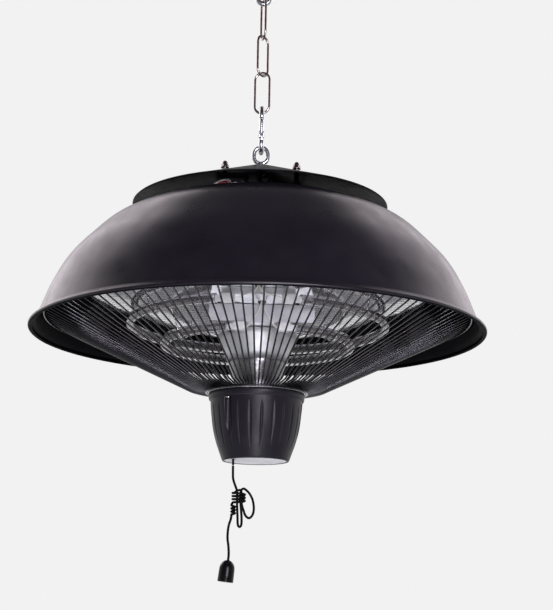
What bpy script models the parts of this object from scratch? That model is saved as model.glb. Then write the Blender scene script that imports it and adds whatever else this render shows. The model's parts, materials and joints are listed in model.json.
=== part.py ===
"""Hanging electric patio heater, modelled piece by piece in metres, +Z up.

The heater hangs on a chain. The origin is the inner top of the upper snap hook's bow,
the point that a ceiling hook carries. The front, -Y, is the side of the heating rings' ends.
Heights named ..._HEIGHT are measured from the rim plane of the dome, and level() places them.
"""
import math

import bmesh
import bpy
from mathutils import Matrix, Vector

# Clearances shared by all pieces
GAP = 0.0003
HANG_GAP = 0.00045
OVERRUN = 0.002
MERGE = 0.00001

# Facets of turned and drilled pieces, and points of bent wires
DOME_STEPS = 36
ROUND_STEPS = 24
SMALL_STEPS = 12
HOLE_STEPS = 8
HOOK_ARC_POINTS = 9
LOOP_ARC_POINTS = 9

# Snap hooks
HOOK_LENGTH = 0.060
HOOK_WIRE = 0.006
HOOK_TOP_WIDTH = 0.028
HOOK_FOOT_WIDTH = 0.021
HOOK_HINGE_SHARE = 0.20
HOOK_NOSE_SHARE = 0.90
NOSE_GAP = 0.0005
GATE_BAR = 0.0045
GATE_CHEEK = 0.0014
GATE_FORK = 0.0062
GATE_EAR_RADIUS = 0.0024
TONGUE_THICKNESS = 0.0022
TONGUE_RISE = 0.0034
RIVET = 0.0016
RIVET_HEAD = 0.0030
RIVET_HEAD_THICKNESS = 0.0005
UPPER_HOOK_TURN = math.radians(0)
LOWER_HOOK_TURN = math.radians(90)

# Chain links, from the upper one down
LINK_LENGTH = 0.0535
LINK_WIDTH = 0.0206
LINK_WIRE = 0.003
LINK_TURNS = (math.radians(-73), math.radians(47), math.radians(-14))

# Eye bolt
EYE_WIRE = 0.005
EYE_WIDTH = 0.0217
EYE_LENGTH = 0.0246
EYE_NECK = 0.0026
EYE_NECK_RADIUS = 0.0045
EYE_FOOT_RADIUS = 0.0085
EYE_FOOT_THICKNESS = 0.0016
EYE_SHANK = 0.008
EYE_NUT_WIDTH = 0.013
EYE_NUT_THICKNESS = 0.004

# Rain cap, a shallow cone
CAP_RADIUS = 0.1485
CAP_EDGE_HEIGHT = 0.1535
CAP_RISE = 0.0495
CAP_FLAT_RADIUS = 0.014
CAP_SHEET = 0.0014

# Stepped studs that hold the cap over the dome, and their domed nuts
STUD_COUNT = 4
STUD_CIRCLE = 0.058
STUD_START = math.radians(45)
STUD = 0.006
STUD_THREAD = 0.004
CAP_NUT_WIDTH = 0.008
CAP_NUT_HEIGHT = 0.0085
CAP_NUT_WALL = 0.0018
CAP_NUT_HEX_SHARE = 0.45
CAP_NUT_DOME_SHARES = ((0.47, 0.94), (0.82, 0.80), (0.94, 0.62), (0.94, 0.35))

# Dome shade
DOME_WALL_RADIUS = 0.2522
DOME_HEIGHT = 0.156
DOME_SHEET = 0.0012
BEAD_RADIUS = 0.0025
RIM_RADIUS = 0.260
DOME_RADIUS_SHARES = (0.270, 0.428, 0.567, 0.690, 0.793, 0.876, 0.938, 0.980)
DOME_HEIGHT_SHARES = (1.000, 0.966, 0.894, 0.795, 0.640, 0.487, 0.301, 0.130)
BEAD_TURN = math.radians(240)
BEAD_POINTS = 4
BEAD_FILLET = 0.0010
BEAD_FILLET_HEIGHT = 0.0054

# Mounting plate under the dome's top
PLATE_RADIUS = 0.066
PLATE_THICKNESS = 0.002

# Centre tube and hub
TUBE_RADIUS = 0.010
TUBE_WALL = 0.0012
TUBE_TAIL = 0.008
HUB_RADIUS = 0.046
HUB_THICKNESS = 0.002
HUB_RIVET_COUNT = 4
HUB_RIVET_CIRCLE = 0.036
HUB_RIVET = 0.003
HUB_RIVET_HEAD = 0.0062
HUB_RIVET_HEAD_THICKNESS = 0.0018
TUBE_NUT_WIDTH = 0.027
TUBE_NUT_THICKNESS = 0.004

# Reflector dish, column and sleeve
DISH_RADIUS = 0.193
DISH_EDGE_HEIGHT = 0.0375
DISH_FLAT_RADIUS = 0.048
DISH_FLAT_HEIGHT = 0.004
DISH_HOLE_RADIUS = 0.024
DISH_LIP = 0.003
DISH_SHEET = 0.0008
COLUMN_TOP_RADIUS = 0.045
COLUMN_FOOT_RADIUS = 0.034
COLUMN_FOOT_HEIGHT = -0.0295
COLUMN_SHEET = 0.001
SLEEVE_WAIST_RADIUS = 0.0255
SLEEVE_WAIST_HEIGHT = -0.0495
SLEEVE_FOOT_RADIUS = 0.0235
SLEEVE_LAP = 0.003

# Quartz heating rings
QUARTZ = 0.012
QUARTZ_WALL = 0.0012
WINDING = 0.0078
RING_POINTS = 24
RING_RADII = {"inner": 0.106, "outer": 0.146}
RING_HEIGHTS = {"inner": -0.009, "outer": 0.013}
RING_CLOCKS = {"inner": math.radians(2.2), "outer": math.radians(0)}
END_GAPS = {"inner": 0.034, "outer": 0.052}
BLADE_LENGTH = 0.010
BLADE_ROOT = 0.001
BLADE_LAP = 0.003
BLADE_WIDTH = 0.007
BLADE_THICKNESS = 0.0016
CERAMIC_LENGTH = 0.013
CERAMIC_WIDTH = 0.011
CERAMIC_HEIGHT = 0.0088
BRACKET_WIDTHS = {"inner": 0.114, "outer": 0.078}
BRACKET_SHEET = 0.001
SUPPORT_WIRE = 0.0016
SUPPORT_AZIMUTHS = (math.radians(-140), math.radians(-40), math.radians(90))
SUPPORT_SPREAD = 0.0115
SUPPORT_ARC_POINTS = 7

# Wire guard
GUARD_RADIUS = 0.243
GUARD_HEIGHT = 0.0175
GUARD_RING_WIRE = 0.003
GUARD_ROD = 0.002
GUARD_ROD_SHARES = ((-0.87, 0.5), (0.87, 0.5), (0, -1))
GUARD_ROD_COUNT = 60
GUARD_KNEE_RADIUS = 0.080
GUARD_KNEE_HEIGHT = -0.060
GUARD_FOOT_RADIUS = 0.057
GUARD_FOOT_HEIGHT = -0.0645
GUARD_RING_STEPS = 36
GUARD_RING_SIDES = 6
GUARD_CLIP_COUNT = 4
GUARD_CLIP_START = math.radians(45)
GUARD_CLIP_WIDTH = 0.012
GUARD_CLIP_HEIGHT = 0.0055
GUARD_CLIP_RISE = 0.001

# Cup under the guard
COLLAR_THICKNESS = 0.0012
CUP_TOP_RADIUS = 0.0545
CUP_BAND_RADIUS = 0.0522
CUP_BAND = 0.0075
CUP_BAND_TAPER = 0.0006
CUP_BOTTOM_RADIUS = 0.0375
CUP_BOTTOM_HEIGHT = -0.142
CUP_WALL = 0.002
CUP_SIDE_SHARES = ((0.15, 0.985), (0.45, 0.937), (0.68, 0.866), (0.86, 0.785))
FLUTE_COUNT = 24
FLUTE_DEPTH = 0.0007
FLUTE_TOP_HEIGHT = -0.080
FLUTE_FOOT_HEIGHT = -0.126
CHANNEL_COUNT = 3
CHANNEL_START = math.radians(-128)
CHANNEL_CIRCLE = 0.0515
CHANNEL_RADIUS = 0.0037
CHANNEL_WALL = 0.0018
CHANNEL_TOP_HEIGHT = -0.0745
CHANNEL_FOOT_HEIGHT = -0.121
CUP_SCREW = 0.003
CUP_SCREW_HEAD = 0.0058
CUP_SCREW_HEAD_THICKNESS = 0.002
CUP_SCREW_INSET = 0.0005
DISC_THICKNESS = 0.002
DISC_INSET = 0.0004

# Pull switch and its stem
PULL_X = -0.0248
PULL_Y = -0.014
BUSH_RADIUS = 0.0034
BUSH_FLANGE = 0.001
BUSH_COLLAR_RADIUS = 0.0024
STEM = 0.0028
STEM_DROP = 0.0065
STEM_TOP_HEIGHT = -0.1105
STEM_BUTTON_RADIUS = 0.0032
STEM_BUTTON_THICKNESS = 0.0015
SHOULDER_HEIGHT = -0.1205
SHOULDER_RADIUS = 0.0044
SHOULDER_THICKNESS = 0.0015
BALL_POINTS = 4
SPRING_RADIUS = 0.0033
SPRING_WIRE = 0.0008
SPRING_TURNS = 5
SPRING_TURN_POINTS = 8
SWITCH_LENGTH = 0.028
SWITCH_DEPTH = 0.018
SWITCH_HEIGHT = 0.030
SWITCH_X = -0.002
SWITCH_Y = 0.001
SWITCH_TOP_HEIGHT = -0.089
SWITCH_BOSS_RADIUS = 0.0042
SWITCH_BOSS = 0.0012
LEVER_ARM = 0.0208
LEVER_HUB_RADIUS = 0.0036
LEVER_BAR = 0.0016
LEVER_FORK_GAP = 0.004
LEVER_CHEEK = 0.0014
LEVER_ROLLER_RADIUS = 0.0022
LEVER_SHAFT = 0.003
LEVER_SHAFT_LENGTH = 0.005
SWITCH_BRACKET_WIDTH = 0.014
SWITCH_BRACKET_SHEET = 0.0015
SWITCH_BRACKET_FOOT = 0.009

# Terminal box under the rain cap
BOX_WIDTH = 0.062
BOX_DEPTH = 0.019
BOX_HEIGHT = 0.0195
BOX_X = -0.019
BOX_BACK_Y = -0.0466
BOX_WALL = 0.0016
BOX_MOUTH_SHARE = 0.62
GLAND_X = 0.0055
GLAND_HEIGHT = 0.1660
GLAND_RADIUS = 0.0082
GLAND_TIP_RADIUS = 0.0070
GLAND_BORE_RADIUS = 0.0040
GLAND_LENGTH = 0.009
BLOCK_LENGTH = 0.026
BLOCK_DEPTH = 0.008
BLOCK_HEIGHT = 0.008
BLOCK_X = -0.0285
TERMINAL_COUNT = 3
TERMINAL_SCREW = 0.0045
TERMINAL_SCREW_THICKNESS = 0.0015

# Leads: from the terminal box to the switch, and from the rings' ends to the switch
LEAD = 0.0022
LEAD_SPACING = 0.0032
LEAD_HOLE_RADIUS = 0.0045
LEAD_HOLE_CIRCLE = 0.0765
LEAD_HOLE_AZIMUTH = math.radians(-139)
PASS_CIRCLE = 0.0185
PASS_RADIUS = 0.0038
POWER_AZIMUTH = math.radians(-139)
LAMP_AZIMUTHS = {"inner": math.radians(-62), "outer": math.radians(-20)}
LAMP_END_SHARES = {"inner": 0.05, "outer": 0.35}
DISH_PASS_RADIUS = 0.0045
LEAD_RISE = 0.012
LEAD_SPAN = 0.018
LEAD_SLACK_PLACES = ((0.0474, 0.1030), (0.0260, 0.0468))
LAMP_CABLE = 0.0034
LAMP_BEND_SHARES = (0.96, 0.70)
LAMP_TURN_RADIUS = 0.035
LAMP_TURN_RISE = 0.019

# Pull cord: routes are lists of places (x, y, height) chosen by hand
CORD = 0.0027
CORD_SPAN = 0.006
HANK_SPAN = 0.0045
WRAP_RADIUS = 0.0068
WRAP_PITCH = 0.0034
WRAP_TURNS = 3
WRAP_POINTS = 16
WRAP_START = math.radians(150)
TAIL_RADIUS = 0.0020
TAIL_PITCH = 0.0034
TAIL_TURNS = 3
TAIL_POINTS = 8
TAIL_START = math.radians(180)
BELL_RADIUS = 0.0088
BELL_LENGTH = 0.0235
BELL_TILT = math.radians(6.5)
BELL_HOLE_RADIUS = 0.0018
BELL_HOLE_DEPTH = 0.003
BELL_SIDE_SHARES = ((0.45, 0.035), (0.72, 0.13), (0.90, 0.25), (0.965, 0.40), (1.0, 1.0))


def hang_from(wire_centre, parent_wire, child_wire):
    """Height of a child wire's centre that rests on a parent wire below it."""
    return wire_centre + (parent_wire + child_wire) / 2 + HANG_GAP


UPPER_HOOK_TOP = HOOK_WIRE / 2
UPPER_HOOK_FOOT = UPPER_HOOK_TOP - (HOOK_LENGTH - HOOK_WIRE)
LINK_TOPS = []
LINK_FEET = []
for link_number in range(len(LINK_TURNS)):
    above, above_wire = (LINK_FEET[-1], LINK_WIRE) if LINK_FEET else (UPPER_HOOK_FOOT, HOOK_WIRE)
    LINK_TOPS.append(hang_from(above, above_wire, LINK_WIRE))
    LINK_FEET.append(LINK_TOPS[-1] - (LINK_LENGTH - LINK_WIRE))
LOWER_HOOK_TOP = hang_from(LINK_FEET[-1], LINK_WIRE, HOOK_WIRE)
LOWER_HOOK_FOOT = LOWER_HOOK_TOP - (HOOK_LENGTH - HOOK_WIRE)
EYE_TOP = hang_from(LOWER_HOOK_FOOT, HOOK_WIRE, EYE_WIRE)
CAP_TOP_HEIGHT = CAP_EDGE_HEIGHT + CAP_RISE
RIM_Z = EYE_TOP + EYE_WIRE / 2 - EYE_LENGTH - EYE_NECK - CAP_TOP_HEIGHT

CAP_SLOPE = CAP_RISE / (CAP_RADIUS - CAP_FLAT_RADIUS)
DISH_SLOPE = (DISH_EDGE_HEIGHT - DISH_FLAT_HEIGHT) / (DISH_RADIUS - DISH_FLAT_RADIUS)
PLATE_TOP_HEIGHT = DOME_HEIGHT - DOME_SHEET - GAP
PLATE_FOOT_HEIGHT = PLATE_TOP_HEIGHT - PLATE_THICKNESS
DISH_TOP_HEIGHT = DISH_FLAT_HEIGHT + DISH_SHEET
COLUMN_TOP_HEIGHT = DISH_FLAT_HEIGHT - GAP
HUB_HEIGHT = DISH_TOP_HEIGHT + GAP
COLLAR_TOP_HEIGHT = GUARD_FOOT_HEIGHT - GUARD_RING_WIRE / 2 + COLLAR_THICKNESS
COLLAR_FOOT_HEIGHT = COLLAR_TOP_HEIGHT - COLLAR_THICKNESS
COLLAR_RADIUS = GUARD_FOOT_RADIUS - GUARD_RING_WIRE / 2 - GAP
CUP_TOP_HEIGHT = COLLAR_FOOT_HEIGHT - GAP
DISC_TOP_HEIGHT = CUP_BOTTOM_HEIGHT + DISC_INSET + DISC_THICKNESS
DISC_FOOT_HEIGHT = CUP_BOTTOM_HEIGHT + DISC_INSET
STEM_FOOT_HEIGHT = CUP_BOTTOM_HEIGHT - STEM_DROP
PULL_PIVOT = (PULL_X, PULL_Y, STEM_FOOT_HEIGHT + STEM / 2)
CORD_TOP_HEIGHT = STEM_FOOT_HEIGHT - GAP

# Route of the cord from the stem's ball end down to the hank
UPPER_ROUTE = (
    (PULL_X, PULL_Y, CORD_TOP_HEIGHT),
    (PULL_X, PULL_Y, CORD_TOP_HEIGHT - CORD),
    (-0.0247, -0.0140, -0.1575),
    (-0.0244, -0.0140, -0.1630),
    (-0.0230, -0.0140, -0.1678),
    (-0.0214, -0.0146, -0.1720),
)
# Route through the hank: a strand down, the narrow loop, a strand up, the large loop,
# a strand up again, and over the top to where the wraps start
STRAND_ROUTE = (
    (-0.0198, -0.0162, -0.1784),
    (-0.0195, -0.0169, -0.1820),
    (-0.0195, -0.0169, -0.1870),
    (-0.0194, -0.0170, -0.1925),
    (-0.0190, -0.0174, -0.1990),
    (-0.0186, -0.0176, -0.2060),
    (-0.0183, -0.0176, -0.2125),
    (-0.0174, -0.0176, -0.2156),
    (-0.0158, -0.0176, -0.2164),
    (-0.0143, -0.0176, -0.2138),
    (-0.0141, -0.0176, -0.2075),
    (-0.0147, -0.0173, -0.1995),
    (-0.0154, -0.0168, -0.1925),
    (-0.0156, -0.0166, -0.1870),
    (-0.0156, -0.0166, -0.1800),
    (-0.0150, -0.0164, -0.1757),
    (-0.0123, -0.0152, -0.1740),
    (-0.0088, -0.0134, -0.1762),
    (-0.0056, -0.0123, -0.1796),
    (-0.0028, -0.0118, -0.1848),
    (-0.0013, -0.0118, -0.1906),
    (-0.0009, -0.0118, -0.1968),
    (-0.0022, -0.0118, -0.2025),
    (-0.0058, -0.0118, -0.2061),
    (-0.0098, -0.0118, -0.2036),
    (-0.0122, -0.0119, -0.1978),
    (-0.0140, -0.0121, -0.1924),
    (-0.0149, -0.0123, -0.1870),
    (-0.0149, -0.0123, -0.1815),
    (-0.0150, -0.0119, -0.1772),
    (-0.0160, -0.0104, -0.1752),
    (-0.0188, -0.0087, -0.1755),
    (-0.0217, -0.0088, -0.1773),
)
WRAP_PLACE = (-0.0178, -0.0140, -0.1786)
TAIL_PLACE = (-0.0236, -0.0140, -0.1925)
TAIL_ROUTE = ((-0.0251, -0.0122, -0.1904),)
EXIT_ROUTE = ((-0.0254, -0.0150, -0.2039),)
LOWER_ROUTE = (
    (-0.0262, -0.0150, -0.2085),
    (-0.0272, -0.0148, -0.2112),
    (-0.0283, -0.0144, -0.2155),
    (-0.0290, -0.0141, -0.2215),
    (-0.0291, -0.0140, -0.2290),
    (-0.0280, -0.0140, -0.2370),
    (-0.0275, -0.0140, -0.2440),
)
BELL_PLACE = (-0.0280, -0.0140, -0.2524)

FINISHES = {
    "satin_black": ("#232126", 0.42, 0.0),
    "inner_black": ("#141317", 0.60, 0.0),
    "black_plastic": ("#2B2A31", 0.45, 0.0),
    "gloss_black": ("#0B0B0D", 0.15, 0.0),
    "zinc": ("#C9CACC", 0.28, 1.0),
    "nickel": ("#A39A98", 0.30, 1.0),
    "polished_aluminium": ("#D8D8DA", 0.12, 1.0),
    "brushed_steel": ("#8F8D92", 0.35, 1.0),
    "guard_wire": ("#5A585C", 0.30, 1.0),
    "quartz": ("#D9D6DC", 0.10, 0.0),
    "heating_wire": ("#B9B4AE", 0.35, 1.0),
    "ceramic": ("#EDEBE6", 0.55, 0.0),
    "pale_plastic": ("#D9D8DE", 0.45, 0.0),
    "rubber": ("#101012", 0.80, 0.0),
    "red_lead": ("#A01F24", 0.50, 0.0),
    "white_lead": ("#E4E2E0", 0.50, 0.0),
    "cord": ("#0C0C0E", 0.50, 0.0),
}
PARTS = "hanging_patio_heater"
CUTTERS = "cutters"


def start_scene():
    """Empty the scene and make one collection for the parts and one for the cutters."""
    for old in list(bpy.data.objects):
        bpy.data.objects.remove(old, do_unlink=True)
    for name in (PARTS, CUTTERS):
        bpy.context.scene.collection.children.link(bpy.data.collections.new(name))


def level(height):
    """World height of a place measured from the rim plane."""
    return RIM_Z + height


def srgb_to_linear(channel):
    return channel / 12.92 if channel <= 0.04045 else ((channel + 0.055) / 1.055) ** 2.4


def material(name, finish):
    colour, roughness, metallic = FINISHES[finish]
    look = bpy.data.materials.new(name + "_finish")
    look.use_nodes = True
    shader = look.node_tree.nodes["Principled BSDF"]
    channels = [srgb_to_linear(int(colour[at:at + 2], 16) / 255) for at in (1, 3, 5)]
    shader.inputs["Base Color"].default_value = (*channels, 1)
    shader.inputs["Roughness"].default_value = roughness
    shader.inputs["Metallic"].default_value = metallic
    return look


def piece(name, data, finish):
    """Put one named sub-part in the heater's collection, with its own material."""
    thing = bpy.data.objects.new(name, data)
    bpy.data.collections[PARTS].objects.link(thing)
    data.name = name
    data.materials.append(material(name, finish))
    return thing


def tool(name, data):
    """Put a cutter in the cutters' collection, drawn as wires and left out of renders."""
    thing = bpy.data.objects.new(name, data)
    bpy.data.collections[CUTTERS].objects.link(thing)
    thing.hide_render = True
    thing.display_type = "WIRE"
    return thing


def boolean(thing, other, operation="DIFFERENCE"):
    change = thing.modifiers.new(other.name, "BOOLEAN")
    change.operation = operation
    change.solver = "EXACT"
    change.object = other
    return thing


def finished(shape):
    data = bpy.data.meshes.new("shape")
    shape.to_mesh(data)
    shape.free()
    return data


def box_mesh(size, centre, turn=Matrix()):
    shape = bmesh.new()
    bmesh.ops.create_cube(shape, size=1)
    shape.transform(Matrix.Translation(centre) @ turn @ Matrix.Diagonal((*size, 1)))
    return finished(shape)


def drum_mesh(radius, length, centre, axis=Vector((0, 0, 1)), steps=SMALL_STEPS, tip=None):
    """A cylinder, prism or cone on an axis through its centre, tip being its far radius."""
    shape = bmesh.new()
    far = radius if tip is None else tip
    bmesh.ops.create_cone(shape, cap_ends=True, segments=steps, radius1=radius, radius2=far, depth=length)
    turn = Vector((0, 0, 1)).rotation_difference(axis).to_matrix().to_4x4()
    shape.transform(Matrix.Translation(centre) @ turn)
    return finished(shape)


def tag_mesh(radius, reach, width, frame):
    """A flat bar, half round about the frame's origin, that runs along Z to a signed reach."""
    facing = math.copysign(1, reach)
    angles = [math.pi * (1 + number / SMALL_STEPS) for number in range(SMALL_STEPS + 1)]
    outline = [(radius * math.cos(angle), radius * math.sin(angle) * facing) for angle in angles]
    return slab_mesh(outline + [(radius, reach), (-radius, reach)], width, frame)


def slab_mesh(outline, width, frame):
    """A flat outline in a frame's XZ plane, drawn out to a width along the frame's Y."""
    shape = bmesh.new()
    face = shape.faces.new([shape.verts.new((x, -width / 2, z)) for x, z in outline])
    raised = bmesh.ops.extrude_face_region(shape, geom=[face])
    moved = [element for element in raised["geom"] if isinstance(element, bmesh.types.BMVert)]
    bmesh.ops.translate(shape, vec=(0, width, 0), verts=moved)
    bmesh.ops.recalc_face_normals(shape, faces=shape.faces)
    shape.transform(frame)
    return finished(shape)


def pillar_mesh(radius, top, foot, x=0, y=0, steps=SMALL_STEPS):
    """An upright cylinder between two world heights."""
    return drum_mesh(radius, top - foot, (x, y, (top + foot) / 2), steps=steps)


def joined(*meshes):
    """One mesh that holds the given ones as separate bodies."""
    shape = bmesh.new()
    for data in meshes:
        shape.from_mesh(data)
        bpy.data.meshes.remove(data)
    return finished(shape)


def pieces(name, data, frames, finish):
    """A numbered sub-part in each frame, all of one shape."""
    for number, frame in enumerate(frames, 1):
        copy = data.copy()
        copy.transform(frame)
        piece(name + "_" + str(number), copy, finish)
    bpy.data.meshes.remove(data)


def copies(data, frames):
    """One mesh with a copy of the given one in each frame, for a cutter or a join."""
    shape = bmesh.new()
    for frame in frames:
        copy = data.copy()
        copy.transform(frame)
        shape.from_mesh(copy)
        bpy.data.meshes.remove(copy)
    bpy.data.meshes.remove(data)
    return finished(shape)


def around(count, radius, start=0.0, height=0.0):
    """Frames spaced evenly on a circle, X pointing outwards in each."""
    step = 2 * math.pi / count
    return [ray(start + number * step, radius, height) for number in range(count)]


def ray(azimuth, radius, height=0.0):
    """Frame at a place on a circle round the heater's axis, X pointing outwards."""
    turn = Matrix.Rotation(azimuth, 4, "Z")
    return turn @ Matrix.Translation((radius, 0, height))


def solid_of(thing):
    """Mesh of an object as its modifiers leave it, welded, and the object removed."""
    bpy.context.view_layer.update()
    seen = thing.evaluated_get(bpy.context.evaluated_depsgraph_get())
    data = bpy.data.meshes.new_from_object(seen)
    data.transform(thing.matrix_world)
    shape = bmesh.new()
    shape.from_mesh(data)
    bmesh.ops.remove_doubles(shape, verts=shape.verts, dist=MERGE)
    bpy.data.objects.remove(thing)
    bpy.data.meshes.remove(data)
    data = finished(shape)
    data.materials.clear()
    return data


def outline_mesh(outline):
    """Mesh of a turned profile, closed unless it starts and ends on the axis."""
    data = bpy.data.meshes.new("outline")
    places = [(radius, 0, level(height)) for radius, height in outline]
    pairs = [(at, at + 1) for at in range(len(places) - 1)]
    if outline[0][0] > 0 or outline[-1][0] > 0:
        pairs.append((len(places) - 1, 0))
    data.from_pydata(places, pairs, [])
    return data


def turn_profile(thing, steps):
    screw = thing.modifiers.new("turn", "SCREW")
    screw.steps = screw.render_steps = steps
    screw.use_merge_vertices = True
    screw.merge_threshold = MERGE
    screw.use_smooth_shade = True
    return thing


def turned(name, outline, finish, steps=ROUND_STEPS):
    """A turned piece: its outline runs down the outer side, heights from the rim plane."""
    return turn_profile(piece(name, outline_mesh(outline), finish), steps)


def turned_tool(name, outline, steps=ROUND_STEPS):
    return turn_profile(tool(name, outline_mesh(outline)), steps)


def sheet(points, wall):
    """Closed outline of bent sheet: the given outer side, then its inner side back."""
    inner = []
    for number, point in enumerate(points):
        before = Vector(points[max(number - 1, 0)])
        after = Vector(points[min(number + 1, len(points) - 1)])
        along = (after - before).normalized()
        inner.append((point[0] + along.y * wall, point[1] - along.x * wall))
    return list(points) + inner[::-1]


def wire_curve(paths, width, closed=False, resolution=2):
    """Curve data of round wires along lists of places."""
    data = bpy.data.curves.new("wire", "CURVE")
    data.dimensions = "3D"
    data.bevel_depth = width / 2
    data.bevel_resolution = resolution
    data.use_fill_caps = True
    for path in paths:
        spline = data.splines.new("POLY")
        spline.points.add(len(path) - 1)
        spline.use_cyclic_u = closed
        for point, place in zip(spline.points, path):
            point.co = (*place, 1)
    return data


def wires(name, paths, width, finish, closed=False, resolution=2):
    return piece(name, wire_curve(paths, width, closed, resolution), finish)


def wire_mesh(path, width, closed=False, resolution=2):
    """Welded mesh of one wire, for a piece that is cut or joined."""
    return solid_of(tool("wire", wire_curve([path], width, closed, resolution)))


def arc(centre, radius, start, end, count):
    """Places on an arc in the XZ plane, from one angle to another."""
    steps = [start + (end - start) * number / (count - 1) for number in range(count)]
    return [Vector((centre[0] + radius * math.cos(a), 0, centre[1] + radius * math.sin(a))) for a in steps]


def smooth_path(route, span):
    """Places on a smooth curve through a route, its longer runs split about every span."""
    knots = [Vector(place) for place in route]
    knots = [knots[0] * 2 - knots[1]] + knots + [knots[-1] * 2 - knots[-2]]
    path = []
    for number in range(1, len(knots) - 2):
        a, b, c, d = knots[number - 1:number + 3]
        count = max(1, round((c - b).length / span))
        for part in range(count):
            t = part / count
            path.append((b * 2 + (c - a) * t + (a * 2 - b * 5 + c * 4 - d) * t ** 2
                         + (b * 3 - a - c * 3 + d) * t ** 3) / 2)
    return path + [knots[-2]]


def in_world(route):
    """World places of a route given as x, y and height over the rim plane."""
    return [(x, y, level(height)) for x, y, height in route]


def hex_radius(width):
    """Corner radius of a hexagon from its width across flats."""
    return width / 2 / math.cos(math.pi / 6)


def nut_mesh(width, thickness, foot, bore, steps=HOLE_STEPS):
    """A hexagon nut with its hole, standing on a world height at the origin's axis."""
    body = tool("nut", drum_mesh(hex_radius(width), thickness, (0, 0, foot + thickness / 2), steps=6))
    hole = tool("nut_bore", pillar_mesh(bore / 2 + GAP, foot + thickness + OVERRUN, foot - OVERRUN,
                                        steps=steps))
    data = solid_of(boolean(body, hole))
    bpy.data.objects.remove(hole)
    return data


def cap_surface(radius):
    """Height of the rain cap's upper side at a radius."""
    return CAP_EDGE_HEIGHT + (CAP_RADIUS - max(radius, CAP_FLAT_RADIUS)) * CAP_SLOPE


def dish_surface(radius):
    """Height of the reflector dish's underside at a radius."""
    return DISH_FLAT_HEIGHT + max(radius - DISH_FLAT_RADIUS, 0) * DISH_SLOPE


def hook_frame(top, turn):
    """Frame of a snap hook: its top wire's centre at the frame's origin, in its own XZ plane."""
    return Matrix.Translation((0, 0, top)) @ Matrix.Rotation(turn, 4, "Z")


def hook_places():
    """Centreline of a snap hook, open on its left side, and the two ends of the gate."""
    top_radius = (HOOK_TOP_WIDTH - HOOK_WIRE) / 2
    foot_radius = (HOOK_FOOT_WIDTH - HOOK_WIRE) / 2
    foot_centre = foot_radius - (HOOK_LENGTH - HOOK_WIRE)
    lean = math.asin((top_radius - foot_radius) / (-top_radius - foot_centre))
    side = Vector((-math.cos(lean), 0, -math.sin(lean)))
    side_top = Vector((0, 0, -top_radius)) + side * top_radius
    side_foot = Vector((0, 0, foot_centre)) + side * foot_radius
    hinge = side_foot.lerp(side_top, HOOK_HINGE_SHARE)
    nose = side_foot.lerp(side_top, HOOK_NOSE_SHARE)
    foot_arc = arc((0, foot_centre), foot_radius, math.pi + lean, 2 * math.pi - lean, HOOK_ARC_POINTS)
    top_arc = arc((0, -top_radius), top_radius, -lean, math.pi + lean, HOOK_ARC_POINTS)
    return [hinge] + foot_arc + top_arc + [nose], hinge, nose


def gate_pivot(hinge, nose):
    return hinge + (nose - hinge).normalized() * TONGUE_RISE


def snap_hook(name, top, turn):
    """Bent wire body of a snap hook, with the flat tongue and the rivet that carry its gate."""
    path, hinge, nose = hook_places()
    along = (nose - hinge).normalized()
    pivot = gate_pivot(hinge, nose)
    upright = Vector((0, 0, 1)).rotation_difference(along).to_matrix().to_4x4()
    across = Vector((0, 1, 0))
    body = piece(name, wire_mesh(path, HOOK_WIRE, resolution=1), "zinc")
    tongue = tag_mesh(GATE_EAR_RADIUS, -TONGUE_RISE - OVERRUN, TONGUE_THICKNESS,
                      Matrix.Translation(pivot) @ upright)
    length = gate_width() + 2 * GAP + RIVET_HEAD_THICKNESS
    pin = drum_mesh(RIVET / 2, length, pivot, across, HOLE_STEPS)
    heads = [drum_mesh(RIVET_HEAD / 2, RIVET_HEAD_THICKNESS, pivot + across * side * length / 2, across,
                       HOLE_STEPS) for side in (-1, 1)]
    boolean(body, tool(name + "_tongue", tongue), "UNION")
    boolean(body, tool(name + "_rivet", pin), "UNION")
    boolean(body, tool(name + "_rivet_heads", joined(*heads)), "UNION")
    place_hook_parts(body, top, turn)


def gate_width():
    """Width of a gate's fork: the tongue, its clearances and the two cheeks."""
    return TONGUE_THICKNESS + 2 * GAP + 2 * GATE_CHEEK


def place_hook_parts(thing, top, turn):
    """Set a hook's piece and its cutters into the hook's frame."""
    frame = hook_frame(top, turn)
    thing.data.transform(frame)
    for change in thing.modifiers:
        if change.type == "BOOLEAN":
            change.object.data.transform(frame)


def hook_gate(name, top, turn):
    """Sprung gate of a snap hook: a bar with a forked, drilled end over the tongue."""
    _, hinge, nose = hook_places()
    along = (nose - hinge).normalized()
    pivot = gate_pivot(hinge, nose)
    upright = Vector((0, 0, 1)).rotation_difference(along).to_matrix().to_4x4()
    across = Vector((0, 1, 0))
    width = gate_width()
    slot = width - 2 * GATE_CHEEK
    reach = (nose - pivot).length - NOSE_GAP
    fork = tag_mesh(GATE_EAR_RADIUS, GATE_FORK, width, Matrix.Translation(pivot) @ upright)
    bar_foot = GATE_FORK - OVERRUN / 2
    bar = drum_mesh(GATE_BAR / 2, reach - bar_foot, pivot + along * (reach + bar_foot) / 2, along)
    notch_top = GATE_EAR_RADIUS + 2 * GAP
    notch_size = (4 * GATE_EAR_RADIUS, slot, notch_top + 2 * GATE_EAR_RADIUS)
    notch = box_mesh(notch_size, pivot + along * (notch_top - notch_size[2] / 2), upright)
    bore = drum_mesh(RIVET / 2 + GAP, 2 * width, pivot, across, HOLE_STEPS)
    body = piece(name, fork, "zinc")
    boolean(body, tool(name + "_bar", bar), "UNION")
    boolean(body, tool(name + "_notch", notch))
    boolean(body, tool(name + "_bore", bore))
    place_hook_parts(body, top, turn)


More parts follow.
